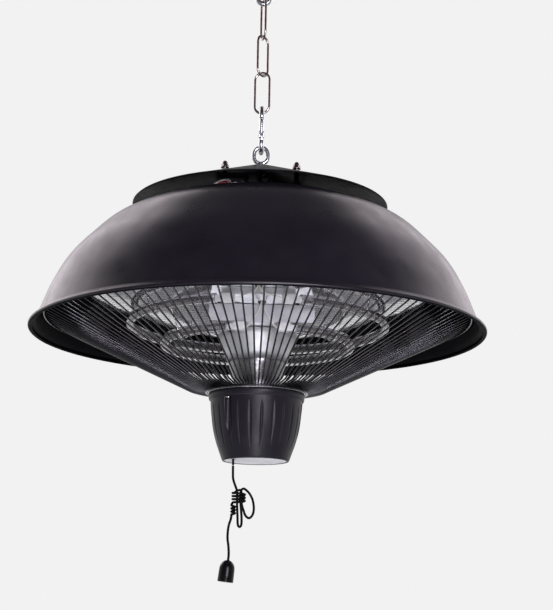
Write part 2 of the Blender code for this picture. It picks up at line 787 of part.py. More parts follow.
def make_hooks():
    rows = (("upper", UPPER_HOOK_TOP, UPPER_HOOK_TURN), ("lower", LOWER_HOOK_TOP, LOWER_HOOK_TURN))
    for which, top, turn in rows:
        snap_hook(which + "_snap_hook", top, turn)
        hook_gate(which + "_hook_gate", top, turn)


def wire_loop(top, width, length, wire):
    """Centreline of a closed wire loop with straight sides, from its top wire's height."""
    radius = (width - wire) / 2
    high = arc((0, top - radius), radius, 0, math.pi, LOOP_ARC_POINTS)
    low = arc((0, top + wire + radius - length), radius, math.pi, 2 * math.pi, LOOP_ARC_POINTS)
    return high + low


def make_links():
    """Welded chain links, each a closed loop with straight sides."""
    for number, turn in enumerate(LINK_TURNS):
        frame = Matrix.Rotation(turn, 4, "Z")
        path = [frame @ place for place in wire_loop(LINK_TOPS[number], LINK_WIDTH, LINK_LENGTH, LINK_WIRE)]
        name = "chain_link_" + str(len(LINK_TURNS) - number)
        wires(name, [path], LINK_WIRE, "nickel", closed=True, resolution=1)


def make_eye_bolt():
    """Eye, neck, foot and threaded shank in one piece, and its two nuts."""
    loop = wire_loop(EYE_TOP, EYE_WIDTH, EYE_LENGTH, EYE_WIRE)
    eye = piece("eye_bolt", wire_mesh(loop, EYE_WIRE, closed=True), "zinc")
    foot = CAP_TOP_HEIGHT + GAP
    neck = foot + EYE_NECK + EYE_WIRE / 2
    shank_foot = PLATE_FOOT_HEIGHT - EYE_NUT_THICKNESS - OVERRUN
    outline = [(0, neck), (EYE_NECK_RADIUS, neck), (EYE_FOOT_RADIUS, foot + EYE_FOOT_THICKNESS),
               (EYE_FOOT_RADIUS, foot), (EYE_SHANK / 2, foot), (EYE_SHANK / 2, shank_foot), (0, shank_foot)]
    boolean(eye, turned_tool("eye_neck", outline, SMALL_STEPS), "UNION")
    feet = (level(DOME_HEIGHT + GAP), level(PLATE_FOOT_HEIGHT - GAP - EYE_NUT_THICKNESS))
    for which, foot in zip(("upper", "lower"), feet):
        piece(which + "_eye_bolt_nut", nut_mesh(EYE_NUT_WIDTH, EYE_NUT_THICKNESS, foot, EYE_SHANK), "zinc")


def stud_frames():
    return around(STUD_COUNT, STUD_CIRCLE, STUD_START)


def stud_holes(name, width, top, foot):
    """Cutter for the studs' holes between two heights over the rim plane."""
    hole = pillar_mesh(width / 2 + GAP, level(top), level(foot), steps=HOLE_STEPS)
    return tool(name, copies(hole, stud_frames()))


def make_rain_cap():
    """Conical cap of thin sheet on the studs' shoulders, and the domed nuts on it."""
    top = CAP_TOP_HEIGHT
    side = [(EYE_SHANK / 2 + GAP, top), (CAP_FLAT_RADIUS, top), (CAP_RADIUS, CAP_EDGE_HEIGHT)]
    cap = turned("rain_cap", sheet(side, CAP_SHEET), "satin_black", DOME_STEPS)
    boolean(cap, stud_holes("cap_holes", STUD_THREAD, top, CAP_EDGE_HEIGHT))
    pieces("cap_nut", cap_nut_mesh(cap_nut_foot()), stud_frames(), "nickel")


def cap_nut_foot():
    """Height of the domed nuts' feet, clear of the cap's uphill side."""
    return cap_surface(STUD_CIRCLE - hex_radius(CAP_NUT_WIDTH)) + GAP


def cap_nut_mesh(foot):
    """A domed nut with a blind bore, its foot at a height over the rim plane."""
    hexagon = CAP_NUT_HEIGHT * CAP_NUT_HEX_SHARE
    body = tool("nut_hexagon", drum_mesh(hex_radius(CAP_NUT_WIDTH), hexagon, (0, 0, level(foot + hexagon / 2)),
                                         steps=6))
    outline = [(0, foot + CAP_NUT_HEIGHT)]
    outline += [(CAP_NUT_WIDTH / 2 * across, foot + CAP_NUT_HEIGHT * up) for across, up in CAP_NUT_DOME_SHARES]
    outline.append((0, outline[-1][1]))
    dome = turned_tool("nut_dome", outline, HOLE_STEPS)
    bore_top = level(foot + CAP_NUT_HEIGHT - CAP_NUT_WALL)
    bore = tool("nut_bore", pillar_mesh(STUD_THREAD / 2 + GAP, bore_top, level(foot - OVERRUN),
                                        steps=HOLE_STEPS))
    data = solid_of(boolean(boolean(body, dome, "UNION"), bore))
    bpy.data.objects.remove(dome)
    bpy.data.objects.remove(bore)
    return data


def make_dome():
    """Dome shade of thin sheet with a rolled bead round its rim."""
    side = [(EYE_SHANK / 2 + GAP, DOME_HEIGHT)]
    side += [(DOME_WALL_RADIUS * across, DOME_HEIGHT * up)
             for across, up in zip(DOME_RADIUS_SHARES, DOME_HEIGHT_SHARES)]
    side.append((DOME_WALL_RADIUS + BEAD_FILLET, BEAD_FILLET_HEIGHT))
    centre = RIM_RADIUS - BEAD_RADIUS
    for number in range(BEAD_POINTS):
        angle = math.pi / 2 - BEAD_TURN * number / (BEAD_POINTS - 1)
        side.append((centre + BEAD_RADIUS * math.cos(angle), BEAD_RADIUS * (1 + math.sin(angle))))
    dome = turned("dome_shade", sheet(side, DOME_SHEET), "satin_black", DOME_STEPS)
    boolean(dome, stud_holes("dome_holes", STUD, DOME_HEIGHT + OVERRUN, PLATE_TOP_HEIGHT))
    hole = pillar_mesh(LEAD_HOLE_RADIUS, level(DOME_HEIGHT + OVERRUN), level(PLATE_FOOT_HEIGHT - OVERRUN))
    boolean(dome, tool("dome_lead_hole", copies(hole, [ray(LEAD_HOLE_AZIMUTH, LEAD_HOLE_CIRCLE)])))


def make_mounting_plate():
    """Plate under the dome's top, with welded studs whose shoulders carry the rain cap."""
    outline = [(EYE_SHANK / 2 + GAP, PLATE_TOP_HEIGHT), (PLATE_RADIUS, PLATE_TOP_HEIGHT),
               (PLATE_RADIUS, PLATE_FOOT_HEIGHT), (EYE_SHANK / 2 + GAP, PLATE_FOOT_HEIGHT)]
    plate = turned("mounting_plate", outline, "nickel")
    cap_depth = CAP_SHEET / math.cos(math.atan(CAP_SLOPE))
    shoulder = cap_surface(STUD_CIRCLE + STUD / 2) - cap_depth - GAP
    top = cap_nut_foot() + CAP_NUT_HEIGHT - CAP_NUT_WALL - GAP
    foot = PLATE_FOOT_HEIGHT - PLATE_THICKNESS
    outline = [(0, top), (STUD_THREAD / 2, top), (STUD_THREAD / 2, shoulder), (STUD / 2, shoulder),
               (STUD / 2, foot), (0, foot)]
    stud = solid_of(turned_tool("stud", outline, HOLE_STEPS))
    boolean(plate, tool("plate_studs", copies(stud, stud_frames())), "UNION")


def make_centre_tube():
    """Tube that carries reflector, guard and cup, and the nut at its foot."""
    top = PLATE_FOOT_HEIGHT - GAP
    foot = COLLAR_FOOT_HEIGHT - TUBE_TAIL
    bore = TUBE_RADIUS - TUBE_WALL
    turned("centre_tube", [(bore, top), (TUBE_RADIUS, top), (TUBE_RADIUS, foot), (bore, foot)],
           "brushed_steel", SMALL_STEPS)
    nut_foot = level(COLLAR_FOOT_HEIGHT - GAP - TUBE_NUT_THICKNESS)
    nut = nut_mesh(TUBE_NUT_WIDTH, TUBE_NUT_THICKNESS, nut_foot, 2 * TUBE_RADIUS, ROUND_STEPS)
    piece("centre_tube_nut", nut, "zinc")


def lead_passes(name, top, foot):
    """Cutter for the holes that the leads pass through, between two heights."""
    hole = pillar_mesh(PASS_RADIUS, level(top), level(foot))
    azimuths = (POWER_AZIMUTH, *LAMP_AZIMUTHS.values())
    return tool(name, copies(hole, [ray(azimuth, PASS_CIRCLE) for azimuth in azimuths]))


def make_hub():
    """Hub plate over the reflector, with the rivets that hold dish and column under it."""
    top = HUB_HEIGHT + HUB_THICKNESS
    bore = TUBE_RADIUS + GAP
    hub = turned("hub_plate", [(bore, top), (HUB_RADIUS, top), (HUB_RADIUS, HUB_HEIGHT), (bore, HUB_HEIGHT)],
                 "brushed_steel")
    boolean(hub, lead_passes("hub_passes", top + OVERRUN, HUB_HEIGHT - OVERRUN))
    head_top = COLUMN_TOP_HEIGHT - COLUMN_SHEET - GAP
    head_foot = head_top - HUB_RIVET_HEAD_THICKNESS
    middle = HUB_HEIGHT + HUB_THICKNESS / 2
    outline = [(0, middle), (HUB_RIVET / 2, middle), (HUB_RIVET / 2, head_top), (HUB_RIVET_HEAD / 2, head_top),
               (HUB_RIVET_HEAD / 2, head_foot), (0, head_foot)]
    rivet = solid_of(turned_tool("hub_rivet", outline, HOLE_STEPS))
    boolean(hub, tool("hub_rivets", copies(rivet, rivet_frames())), "UNION")


def rivet_frames():
    return around(HUB_RIVET_COUNT, HUB_RIVET_CIRCLE, STUD_START)


def rivet_holes(name, top, foot):
    hole = pillar_mesh(HUB_RIVET / 2 + GAP, level(top), level(foot), steps=HOLE_STEPS)
    return tool(name, copies(hole, rivet_frames()))


def make_dish():
    """Polished reflector dish that rises outwards from a flat centre to a turned-up lip."""
    side = [(DISH_HOLE_RADIUS, DISH_TOP_HEIGHT), (DISH_FLAT_RADIUS, DISH_TOP_HEIGHT),
            (DISH_RADIUS - DISH_LIP, DISH_EDGE_HEIGHT + DISH_SHEET), (DISH_RADIUS, DISH_EDGE_HEIGHT + DISH_LIP)]
    under = [(DISH_RADIUS, DISH_EDGE_HEIGHT), (DISH_FLAT_RADIUS, DISH_FLAT_HEIGHT),
             (DISH_HOLE_RADIUS, DISH_FLAT_HEIGHT)]
    dish = turned("reflector_dish", side + under, "polished_aluminium", DOME_STEPS)
    boolean(dish, rivet_holes("dish_rivet_holes", DISH_TOP_HEIGHT + OVERRUN, DISH_FLAT_HEIGHT - OVERRUN))
    passes = []
    for which, radius in RING_RADII.items():
        hole = pillar_mesh(DISH_PASS_RADIUS, level(DISH_EDGE_HEIGHT), level(0), steps=HOLE_STEPS)
        passes.append(copies(hole, [ray(ring_angles(which)[0], radius)]))
    boolean(dish, tool("dish_passes", joined(*passes)))


def make_column():
    """Polished reflector column under the dish, and the duller sleeve below it."""
    top = COLUMN_TOP_HEIGHT
    hole = DISH_HOLE_RADIUS
    middle = ((COLUMN_TOP_RADIUS + COLUMN_FOOT_RADIUS) / 2, (top + COLUMN_FOOT_HEIGHT) / 2)
    side = [(hole, top), (COLUMN_TOP_RADIUS, top), middle, (COLUMN_FOOT_RADIUS, COLUMN_FOOT_HEIGHT)]
    inside = [(COLUMN_FOOT_RADIUS - COLUMN_SHEET, COLUMN_FOOT_HEIGHT), (middle[0] - COLUMN_SHEET, middle[1]),
              (COLUMN_TOP_RADIUS - 2 * COLUMN_SHEET, top - COLUMN_SHEET), (hole, top - COLUMN_SHEET)]
    column = turned("reflector_column", side + inside, "polished_aluminium")
    boolean(column, rivet_holes("column_rivet_holes", top + OVERRUN, top - COLUMN_SHEET - OVERRUN))

    sleeve_top = COLUMN_FOOT_HEIGHT + SLEEVE_LAP
    sleeve_radius = COLUMN_FOOT_RADIUS - COLUMN_SHEET - 2 * GAP
    foot = COLLAR_TOP_HEIGHT + GAP
    points = [(sleeve_radius, sleeve_top), (sleeve_radius, COLUMN_FOOT_HEIGHT - SLEEVE_LAP),
              (SLEEVE_WAIST_RADIUS, SLEEVE_WAIST_HEIGHT), (SLEEVE_FOOT_RADIUS, foot)]
    turned("column_sleeve", points + [(radius - COLUMN_SHEET, height) for radius, height in points[::-1]],
           "brushed_steel")


def ring_angles(which):
    """A ring's front, and the angles from there to its ceramic block, its blade and its glass."""
    radius = RING_RADII[which]
    front = RING_CLOCKS[which] - math.pi / 2
    ceramic = (END_GAPS[which] / 2 + CERAMIC_LENGTH / 2) / radius
    blade = (END_GAPS[which] / 2 + CERAMIC_LENGTH + BLADE_LENGTH / 2 - BLADE_ROOT) / radius
    glass = (END_GAPS[which] / 2 + CERAMIC_LENGTH + BLADE_LENGTH - BLADE_ROOT - BLADE_LAP) / radius
    return front, ceramic, blade, glass


def glass_radius(which, azimuth):
    """Radius of a quartz ring's facetted centreline at an azimuth."""
    front, _, _, glass = ring_angles(which)
    step = (2 * math.pi - 2 * glass) / (RING_POINTS - 1)
    along = (azimuth - front - glass) % (2 * math.pi) % step
    return RING_RADII[which] * math.cos(step / 2) / math.cos(along - step / 2)


def make_quartz_ring(which):
    """One open ring of quartz tube with the heating winding in it."""
    radius = RING_RADII[which]
    front, _, _, glass = ring_angles(which)
    height = level(RING_HEIGHTS[which])
    sweep = 2 * math.pi - 2 * glass
    angles = [front + glass + sweep * number / (RING_POINTS - 1) for number in range(RING_POINTS)]
    path = [Vector((radius * math.cos(a), radius * math.sin(a), height)) for a in angles]
    bore_path = [path[0] * 2 - path[1]] + path + [path[-1] * 2 - path[-2]]
    tube = piece(which + "_quartz_ring", wire_mesh(path, QUARTZ, resolution=1), "quartz")
    bore = wire_mesh(bore_path, QUARTZ - 2 * QUARTZ_WALL, resolution=1)
    boolean(tube, tool(which + "_quartz_bore", bore))
    trim = (BLADE_LAP + 2 * GAP) / (path[1] - path[0]).length
    run = [path[0].lerp(path[1], trim)] + path[1:-1] + [path[-1].lerp(path[-2], trim)]
    wires(which + "_heating_winding", [run], WINDING, "heating_wire", resolution=0)


def make_ceramic_ends(which):
    """Ceramic blocks at a ring's ends, each with the flat blade that enters the tube's end."""
    radius = RING_RADII[which]
    front, ceramic, blade, _ = ring_angles(which)
    height = level(RING_HEIGHTS[which])
    blade_size = (BLADE_THICKNESS, BLADE_LENGTH, BLADE_WIDTH)
    block_size = (CERAMIC_WIDTH, CERAMIC_LENGTH, CERAMIC_HEIGHT)
    for side, label in ((-1, "left"), (1, "right")):
        block = box_mesh(block_size, (0, 0, 0))
        block.transform(ray(front + side * ceramic, radius, height))
        blade_box = box_mesh(blade_size, (0, 0, 0))
        blade_box.transform(ray(front + side * blade, radius, height))
        name = which + "_ceramic_" + label
        boolean(piece(name, block, "ceramic"), tool(name + "_blade", blade_box), "UNION")


def make_end_bracket(which):
    """Sheet bracket under the dish, with a shelf over each ceramic block of a ring."""
    radius = RING_RADII[which]
    front, ceramic, _, _ = ring_angles(which)
    foot = RING_HEIGHTS[which] + CERAMIC_HEIGHT / 2 + GAP
    wide_foot = RING_HEIGHTS[which] + QUARTZ / 2 + GAP
    inside = radius - CERAMIC_WIDTH / 2
    centre = inside + BRACKET_SHEET / 2
    top = dish_surface(inside) - GAP
    narrow = END_GAPS[which] + 2 * CERAMIC_LENGTH
    plate_foot = foot + BRACKET_SHEET / 2
    plate = box_mesh((BRACKET_SHEET, BRACKET_WIDTHS[which], top - plate_foot),
                     (centre, 0, level((top + plate_foot) / 2)))
    plate.transform(Matrix.Rotation(front, 4, "Z"))
    shelf = box_mesh((CERAMIC_WIDTH, CERAMIC_LENGTH, BRACKET_SHEET), (0, 0, level(foot + BRACKET_SHEET / 2)))
    shelves = copies(shelf, [ray(front + side * ceramic, radius) for side in (-1, 1)])
    bracket = piece(which + "_end_bracket", plate, "brushed_steel")
    if BRACKET_WIDTHS[which] > narrow:
        notch_size = (2 * OVERRUN, BRACKET_WIDTHS[which] - narrow, 2 * (wide_foot - foot))
        notches = [box_mesh(notch_size, (centre, side * BRACKET_WIDTHS[which] / 2, level(foot)))
                   for side in (-1, 1)]
        notch = tool(which + "_bracket_notches", joined(*notches))
        notch.data.transform(Matrix.Rotation(front, 4, "Z"))
        boolean(bracket, notch)
    boolean(bracket, tool(which + "_bracket_shelves", shelves), "UNION")


def make_ring_supports():
    """Bent wires that hang both rings from the dish, each under one ring and then the other."""
    half_step = math.pi / 2 / (SUPPORT_ARC_POINTS - 1)
    cradle = (QUARTZ / 2 + SUPPORT_WIRE / 2 + GAP) / math.cos(half_step)
    for number, azimuth in enumerate(SUPPORT_AZIMUTHS, 1):
        radii = [glass_radius(which, azimuth) for which in RING_RADII]
        tops = (radii[0] - SUPPORT_SPREAD, (radii[0] + radii[1]) / 2, radii[1] + SUPPORT_SPREAD)
        places = []
        for top, radius, height in zip(tops, radii, RING_HEIGHTS.values()):
            places.append((top, dish_surface(top - SUPPORT_WIRE) - SUPPORT_WIRE / 2 - GAP))
            places += [(place.x, place.z)
                       for place in arc((radius, height), cradle, math.pi, 2 * math.pi, SUPPORT_ARC_POINTS)]
        places.append((tops[2], dish_surface(tops[2] - SUPPORT_WIRE) - SUPPORT_WIRE / 2 - GAP))
        turn = Matrix.Rotation(azimuth, 4, "Z")
        path = [turn @ Vector((across, 0, level(height))) for across, height in places]
        wires("ring_support_" + str(number), [path], SUPPORT_WIRE, "zinc", resolution=0)


def ring_outline(radius, height, wire):
    """Outline of a wire ring, run so that its outer side goes down."""
    angles = [math.pi / 2 - 2 * math.pi * number / GUARD_RING_SIDES for number in range(GUARD_RING_SIDES)]
    return [(radius + wire / 2 * math.cos(a), height + wire / 2 * math.sin(a)) for a in angles]


def make_guard():
    """Welded guard: bent rods between an outer and an inner ring, and tabs that meet the dome."""
    guard = turned("wire_guard", ring_outline(GUARD_RADIUS, GUARD_HEIGHT, GUARD_RING_WIRE), "guard_wire",
                   GUARD_RING_STEPS)
    inner = turned_tool("guard_inner_ring", ring_outline(GUARD_FOOT_RADIUS, GUARD_FOOT_HEIGHT, GUARD_RING_WIRE),
                        GUARD_RING_STEPS)
    rods = copies(rod_mesh(), around(GUARD_ROD_COUNT, 0, math.pi / GUARD_ROD_COUNT))
    boolean(guard, tool("guard_rods", rods), "UNION")
    boolean(guard, inner, "UNION")
    clip_top = GUARD_HEIGHT + GUARD_CLIP_RISE
    reach_in = GUARD_RADIUS * math.cos(math.pi / GUARD_RING_STEPS) - GUARD_RING_WIRE / 4
    bulge = GUARD_CLIP_WIDTH ** 2 / GUARD_RADIUS / 8
    reach_out = dome_inside(clip_top) - bulge - GAP
    clip = box_mesh((reach_out - reach_in, GUARD_CLIP_WIDTH, GUARD_CLIP_HEIGHT), (0, 0, 0))
    middle = level(clip_top - GUARD_CLIP_HEIGHT / 2)
    clip_frames = around(GUARD_CLIP_COUNT, (reach_in + reach_out) / 2, GUARD_CLIP_START, middle)
    boolean(guard, tool("guard_tabs", copies(clip, clip_frames)), "UNION")


def rod_mesh():
    """One bent guard rod, three-sided, from the outer ring's wire to the inner ring's."""
    rod = ((GUARD_RADIUS - GUARD_ROD / 4, GUARD_HEIGHT), (GUARD_KNEE_RADIUS, GUARD_KNEE_HEIGHT),
           (GUARD_FOOT_RADIUS + GUARD_ROD / 4, GUARD_FOOT_HEIGHT))
    shape = bmesh.new()
    rows = []
    for radius, height in rod:
        rows.append([shape.verts.new((radius, GUARD_ROD / 2 * across, level(height) + GUARD_ROD / 2 * up))
                     for across, up in GUARD_ROD_SHARES])
    for row, after in zip(rows, rows[1:]):
        for number in range(len(row)):
            shape.faces.new((row[number - 1], row[number], after[number], after[number - 1]))
    shape.faces.new(rows[0])
    shape.faces.new(rows[-1])
    bmesh.ops.recalc_face_normals(shape, faces=shape.faces)
    return finished(shape)


def dome_inside(height):
    """Inner radius of the dome's facets at a height over the rim plane."""
    rows = [(DOME_HEIGHT * up, DOME_WALL_RADIUS * across)
            for across, up in zip(DOME_RADIUS_SHARES, DOME_HEIGHT_SHARES)]
    rows.append((BEAD_FILLET_HEIGHT, DOME_WALL_RADIUS + BEAD_FILLET))
    for (high, at_high), (low, at_low) in zip(rows, rows[1:]):
        if low <= height <= high:
            radius = at_low + (at_high - at_low) * (height - low) / (high - low)
    return (radius - DOME_SHEET) * math.cos(math.pi / DOME_STEPS)


def cup_side():
    """Outer side of the cup as radius and height, from its band down to the bottom."""
    band_foot = CUP_TOP_HEIGHT - CUP_BAND
    drop = band_foot - CUP_BOTTOM_HEIGHT
    rows = [(CUP_BAND_RADIUS, band_foot)]
    for down, across in CUP_SIDE_SHARES:
        rows.append((CUP_BAND_RADIUS * across, band_foot - drop * down))
    return rows + [(CUP_BOTTOM_RADIUS, CUP_BOTTOM_HEIGHT)]


def channel_frames():
    return around(CHANNEL_COUNT, CHANNEL_CIRCLE, CHANNEL_START)


def make_cup():
    """Fluted cup with a plain band, three screw channels and open top and bottom."""
    side = cup_side()
    outside = [(0, CUP_TOP_HEIGHT), (CUP_TOP_RADIUS, CUP_TOP_HEIGHT)]
    outside += [(CUP_TOP_RADIUS - CUP_BAND_TAPER, side[0][1] + CUP_BAND_TAPER)] + side
    outside.append((0, CUP_BOTTOM_HEIGHT))
    body = solid_of(turned_tool("cup_outside", outside, 2 * FLUTE_COUNT))
    press_flutes(body)
    cup = piece("cup_housing", body, "black_plastic")
    hollow = [(0, CUP_TOP_HEIGHT + OVERRUN), (CUP_BAND_RADIUS - CUP_WALL, CUP_TOP_HEIGHT + OVERRUN)]
    hollow += [(radius - CUP_WALL, height) for radius, height in side]
    hollow += [(CUP_BOTTOM_RADIUS - CUP_WALL, CUP_BOTTOM_HEIGHT - OVERRUN), (0, CUP_BOTTOM_HEIGHT - OVERRUN)]
    room = turned_tool("cup_room", hollow, FLUTE_COUNT)
    boss_top = CUP_TOP_HEIGHT + 2 * OVERRUN
    boss_foot = CHANNEL_FOOT_HEIGHT - CHANNEL_WALL
    boss = pillar_mesh(CHANNEL_RADIUS + CHANNEL_WALL, level(boss_top), level(boss_foot), steps=HOLE_STEPS)
    boolean(room, tool("cup_bosses", copies(boss, channel_frames())))
    boolean(cup, room)
    channel = pillar_mesh(CHANNEL_RADIUS, level(CHANNEL_TOP_HEIGHT), level(CHANNEL_FOOT_HEIGHT))
    boolean(cup, tool("cup_channels", copies(channel, channel_frames())))
    hole = pillar_mesh(CUP_SCREW / 2 + GAP, level(CUP_TOP_HEIGHT + OVERRUN), level(CHANNEL_TOP_HEIGHT - OVERRUN),
                       -CUP_SCREW_INSET, steps=HOLE_STEPS)
    boolean(cup, tool("cup_screw_holes", copies(hole, channel_frames())))


def press_flutes(data):
    """Move every second column of the cup's side inwards, between the flutes' ends."""
    step = math.pi / FLUTE_COUNT
    for vertex in data.vertices:
        column = round(math.atan2(vertex.co.y, vertex.co.x) / step)
        height = vertex.co.z - RIM_Z
        if column % 2 and FLUTE_FOOT_HEIGHT < height < FLUTE_TOP_HEIGHT:
            radius = math.hypot(vertex.co.x, vertex.co.y)
            vertex.co.x *= (radius - FLUTE_DEPTH) / radius
            vertex.co.y *= (radius - FLUTE_DEPTH) / radius


def make_collar():
    """Collar plate that the tube's nut draws up, and the screws that hold the cup to it."""
    bore = TUBE_RADIUS + GAP
    top, foot = COLLAR_TOP_HEIGHT, COLLAR_FOOT_HEIGHT
    plate = turned("collar_plate", [(bore, top), (COLLAR_RADIUS, top), (COLLAR_RADIUS, foot), (bore, foot)],
                   "zinc", GUARD_RING_STEPS)
    boolean(plate, lead_passes("collar_passes", top + OVERRUN, foot - OVERRUN))
    hole = pillar_mesh(CUP_SCREW / 2 + GAP, level(top + OVERRUN), level(foot - OVERRUN), -CUP_SCREW_INSET,
                       steps=HOLE_STEPS)
    boolean(plate, tool("collar_screw_holes", copies(hole, channel_frames())))
    head_top = CHANNEL_TOP_HEIGHT - GAP
    head_foot = head_top - CUP_SCREW_HEAD_THICKNESS
    outline = [(0, top), (CUP_SCREW / 2, top), (CUP_SCREW / 2, head_top), (CUP_SCREW_HEAD / 2, head_top),
               (CUP_SCREW_HEAD / 2, head_foot), (0, head_foot)]
    screw = solid_of(turned_tool("cup_screw", outline, HOLE_STEPS))
    screw.transform(Matrix.Translation((-CUP_SCREW_INSET, 0, 0)))
    pieces("cup_screw", screw, channel_frames(), "nickel")


def make_bottom_disc():
    """Pale disc in the cup's bottom, and the bush that the pull stem slides in."""
    radius = (CUP_BOTTOM_RADIUS - CUP_WALL) * math.cos(math.pi / FLUTE_COUNT) - GAP
    disc = piece("cup_bottom_disc", pillar_mesh(radius, level(DISC_TOP_HEIGHT), level(DISC_FOOT_HEIGHT),
                                                steps=FLUTE_COUNT), "pale_plastic")
    hole = pillar_mesh(BUSH_COLLAR_RADIUS + GAP, level(DISC_TOP_HEIGHT + OVERRUN),
                       level(DISC_FOOT_HEIGHT - OVERRUN), PULL_X, PULL_Y)
    boolean(disc, tool("disc_hole", hole))
    bore = STEM / 2 + GAP
    flange_foot = DISC_TOP_HEIGHT + GAP
    outline = [(bore, flange_foot + BUSH_FLANGE), (BUSH_RADIUS, flange_foot + BUSH_FLANGE),
               (BUSH_RADIUS, flange_foot), (BUSH_COLLAR_RADIUS, flange_foot),
               (BUSH_COLLAR_RADIUS, DISC_FOOT_HEIGHT), (bore, DISC_FOOT_HEIGHT)]
    bush = solid_of(turned_tool("bush", outline, SMALL_STEPS))
    bush.transform(Matrix.Translation((PULL_X, PULL_Y, 0)))
    piece("cord_bush", bush, "rubber")


def make_pull_stem():
    """Stem of the pull switch: a button over the lever's fork, a shoulder on the spring."""
    radius = STEM / 2
    button_foot = STEM_TOP_HEIGHT - STEM_BUTTON_THICKNESS
    shoulder_foot = SHOULDER_HEIGHT - SHOULDER_THICKNESS
    outline = [(0, STEM_TOP_HEIGHT), (STEM_BUTTON_RADIUS, STEM_TOP_HEIGHT), (STEM_BUTTON_RADIUS, button_foot),
               (radius, button_foot), (radius, SHOULDER_HEIGHT), (SHOULDER_RADIUS, SHOULDER_HEIGHT),
               (SHOULDER_RADIUS, shoulder_foot), (radius, shoulder_foot)]
    ball = STEM_FOOT_HEIGHT + radius
    for number in range(BALL_POINTS - 1):
        angle = math.pi / 2 * number / (BALL_POINTS - 1)
        outline.append((radius * math.cos(angle), ball - radius * math.sin(angle)))
    outline.append((0, STEM_FOOT_HEIGHT))
    stem = solid_of(turned_tool("stem", outline, HOLE_STEPS))
    stem.transform(Matrix.Translation((PULL_X, PULL_Y, 0)))
    return piece("pull_stem", stem, "gloss_black")


def make_return_spring():
    """Open coil between the bush's flange and the stem's shoulder."""
    foot = DISC_TOP_HEIGHT + GAP + BUSH_FLANGE + GAP + SPRING_WIRE / 2
    top = SHOULDER_HEIGHT - SHOULDER_THICKNESS - GAP - SPRING_WIRE / 2
    count = SPRING_TURNS * SPRING_TURN_POINTS
    path = []
    for number in range(count + 1):
        angle = 2 * math.pi * number / SPRING_TURN_POINTS
        height = foot + (top - foot) * number / count
        path.append((PULL_X + SPRING_RADIUS * math.cos(angle), PULL_Y + SPRING_RADIUS * math.sin(angle),
                     level(height)))
    wires("return_spring", [path], SPRING_WIRE, "zinc", resolution=0)


def lever_pivot():
    """Centre of the switch lever's hub, level with the rollers at its far end."""
    height = STEM_TOP_HEIGHT - STEM_BUTTON_THICKNESS - GAP - LEVER_ROLLER_RADIUS
    return Vector((PULL_X + LEVER_ARM, PULL_Y, level(height)))


def make_switch():
    """Switch body on its bracket, and the forked lever that the stem's button presses."""
    top = SWITCH_TOP_HEIGHT
    pivot = lever_pivot()
    across = Vector((0, 1, 0))
    centre = (SWITCH_X, SWITCH_Y, level(top - SWITCH_HEIGHT / 2))
    body = piece("switch_body", box_mesh((SWITCH_LENGTH, SWITCH_DEPTH, SWITCH_HEIGHT), centre), "inner_black")
    face = SWITCH_Y - SWITCH_DEPTH / 2
    boss_centre = (pivot.x, face - SWITCH_BOSS / 2 + OVERRUN / 2, pivot.z)
    boolean(body, tool("switch_boss", drum_mesh(SWITCH_BOSS_RADIUS, SWITCH_BOSS + OVERRUN, boss_centre, across)),
            "UNION")
    bore_centre = (pivot.x, face, pivot.z)
    bore = drum_mesh(LEVER_SHAFT / 2 + GAP, 2 * (LEVER_SHAFT_LENGTH + GAP), bore_centre, across, HOLE_STEPS)
    boolean(body, tool("switch_bore", bore))

    hub_back = face - SWITCH_BOSS - GAP
    half_fork = LEVER_FORK_GAP / 2 + LEVER_CHEEK
    hub_front = PULL_Y - half_fork
    hub = drum_mesh(LEVER_HUB_RADIUS, hub_back - hub_front, (pivot.x, (hub_back + hub_front) / 2, pivot.z), across)
    lever = piece("switch_lever", hub, "pale_plastic")
    shaft_back = face + LEVER_SHAFT_LENGTH
    shaft = drum_mesh(LEVER_SHAFT / 2, shaft_back - PULL_Y, (pivot.x, (shaft_back + PULL_Y) / 2, pivot.z), across,
                      HOLE_STEPS)
    boolean(lever, tool("lever_shaft", shaft), "UNION")
    for side in (-1, 1):
        offset = side * (LEVER_FORK_GAP + LEVER_CHEEK) / 2
        bar_centre = (pivot.x - LEVER_ARM / 2, PULL_Y + offset, pivot.z)
        bar = box_mesh((LEVER_ARM, LEVER_CHEEK, LEVER_BAR), bar_centre)
        roller = drum_mesh(LEVER_ROLLER_RADIUS, LEVER_CHEEK, (PULL_X, PULL_Y + offset, pivot.z), across)
        label = "near" if side < 0 else "far"
        boolean(lever, tool("lever_bar_" + label, bar), "UNION")
        boolean(lever, tool("lever_roller_" + label, roller), "UNION")


def make_switch_bracket():
    """Hanger from the collar plate down to the switch, folded like a Z."""
    foot = level(SWITCH_TOP_HEIGHT + GAP)
    top = level(COLLAR_FOOT_HEIGHT - GAP)
    back = SWITCH_Y + SWITCH_DEPTH / 2 + TUBE_NUT_WIDTH / 2
    inside = back - SWITCH_BRACKET_SHEET
    end = inside + SWITCH_BRACKET_FOOT
    outline = [(SWITCH_Y, foot), (back, foot), (back, top - SWITCH_BRACKET_SHEET),
               (end, top - SWITCH_BRACKET_SHEET), (end, top), (inside, top),
               (inside, foot + SWITCH_BRACKET_SHEET), (SWITCH_Y, foot + SWITCH_BRACKET_SHEET)]
    frame = Matrix.Translation((SWITCH_X, 0, 0)) @ Matrix.Rotation(math.pi / 2, 4, "Z")
    piece("switch_bracket", slab_mesh(outline, SWITCH_BRACKET_WIDTH, frame), "brushed_steel")


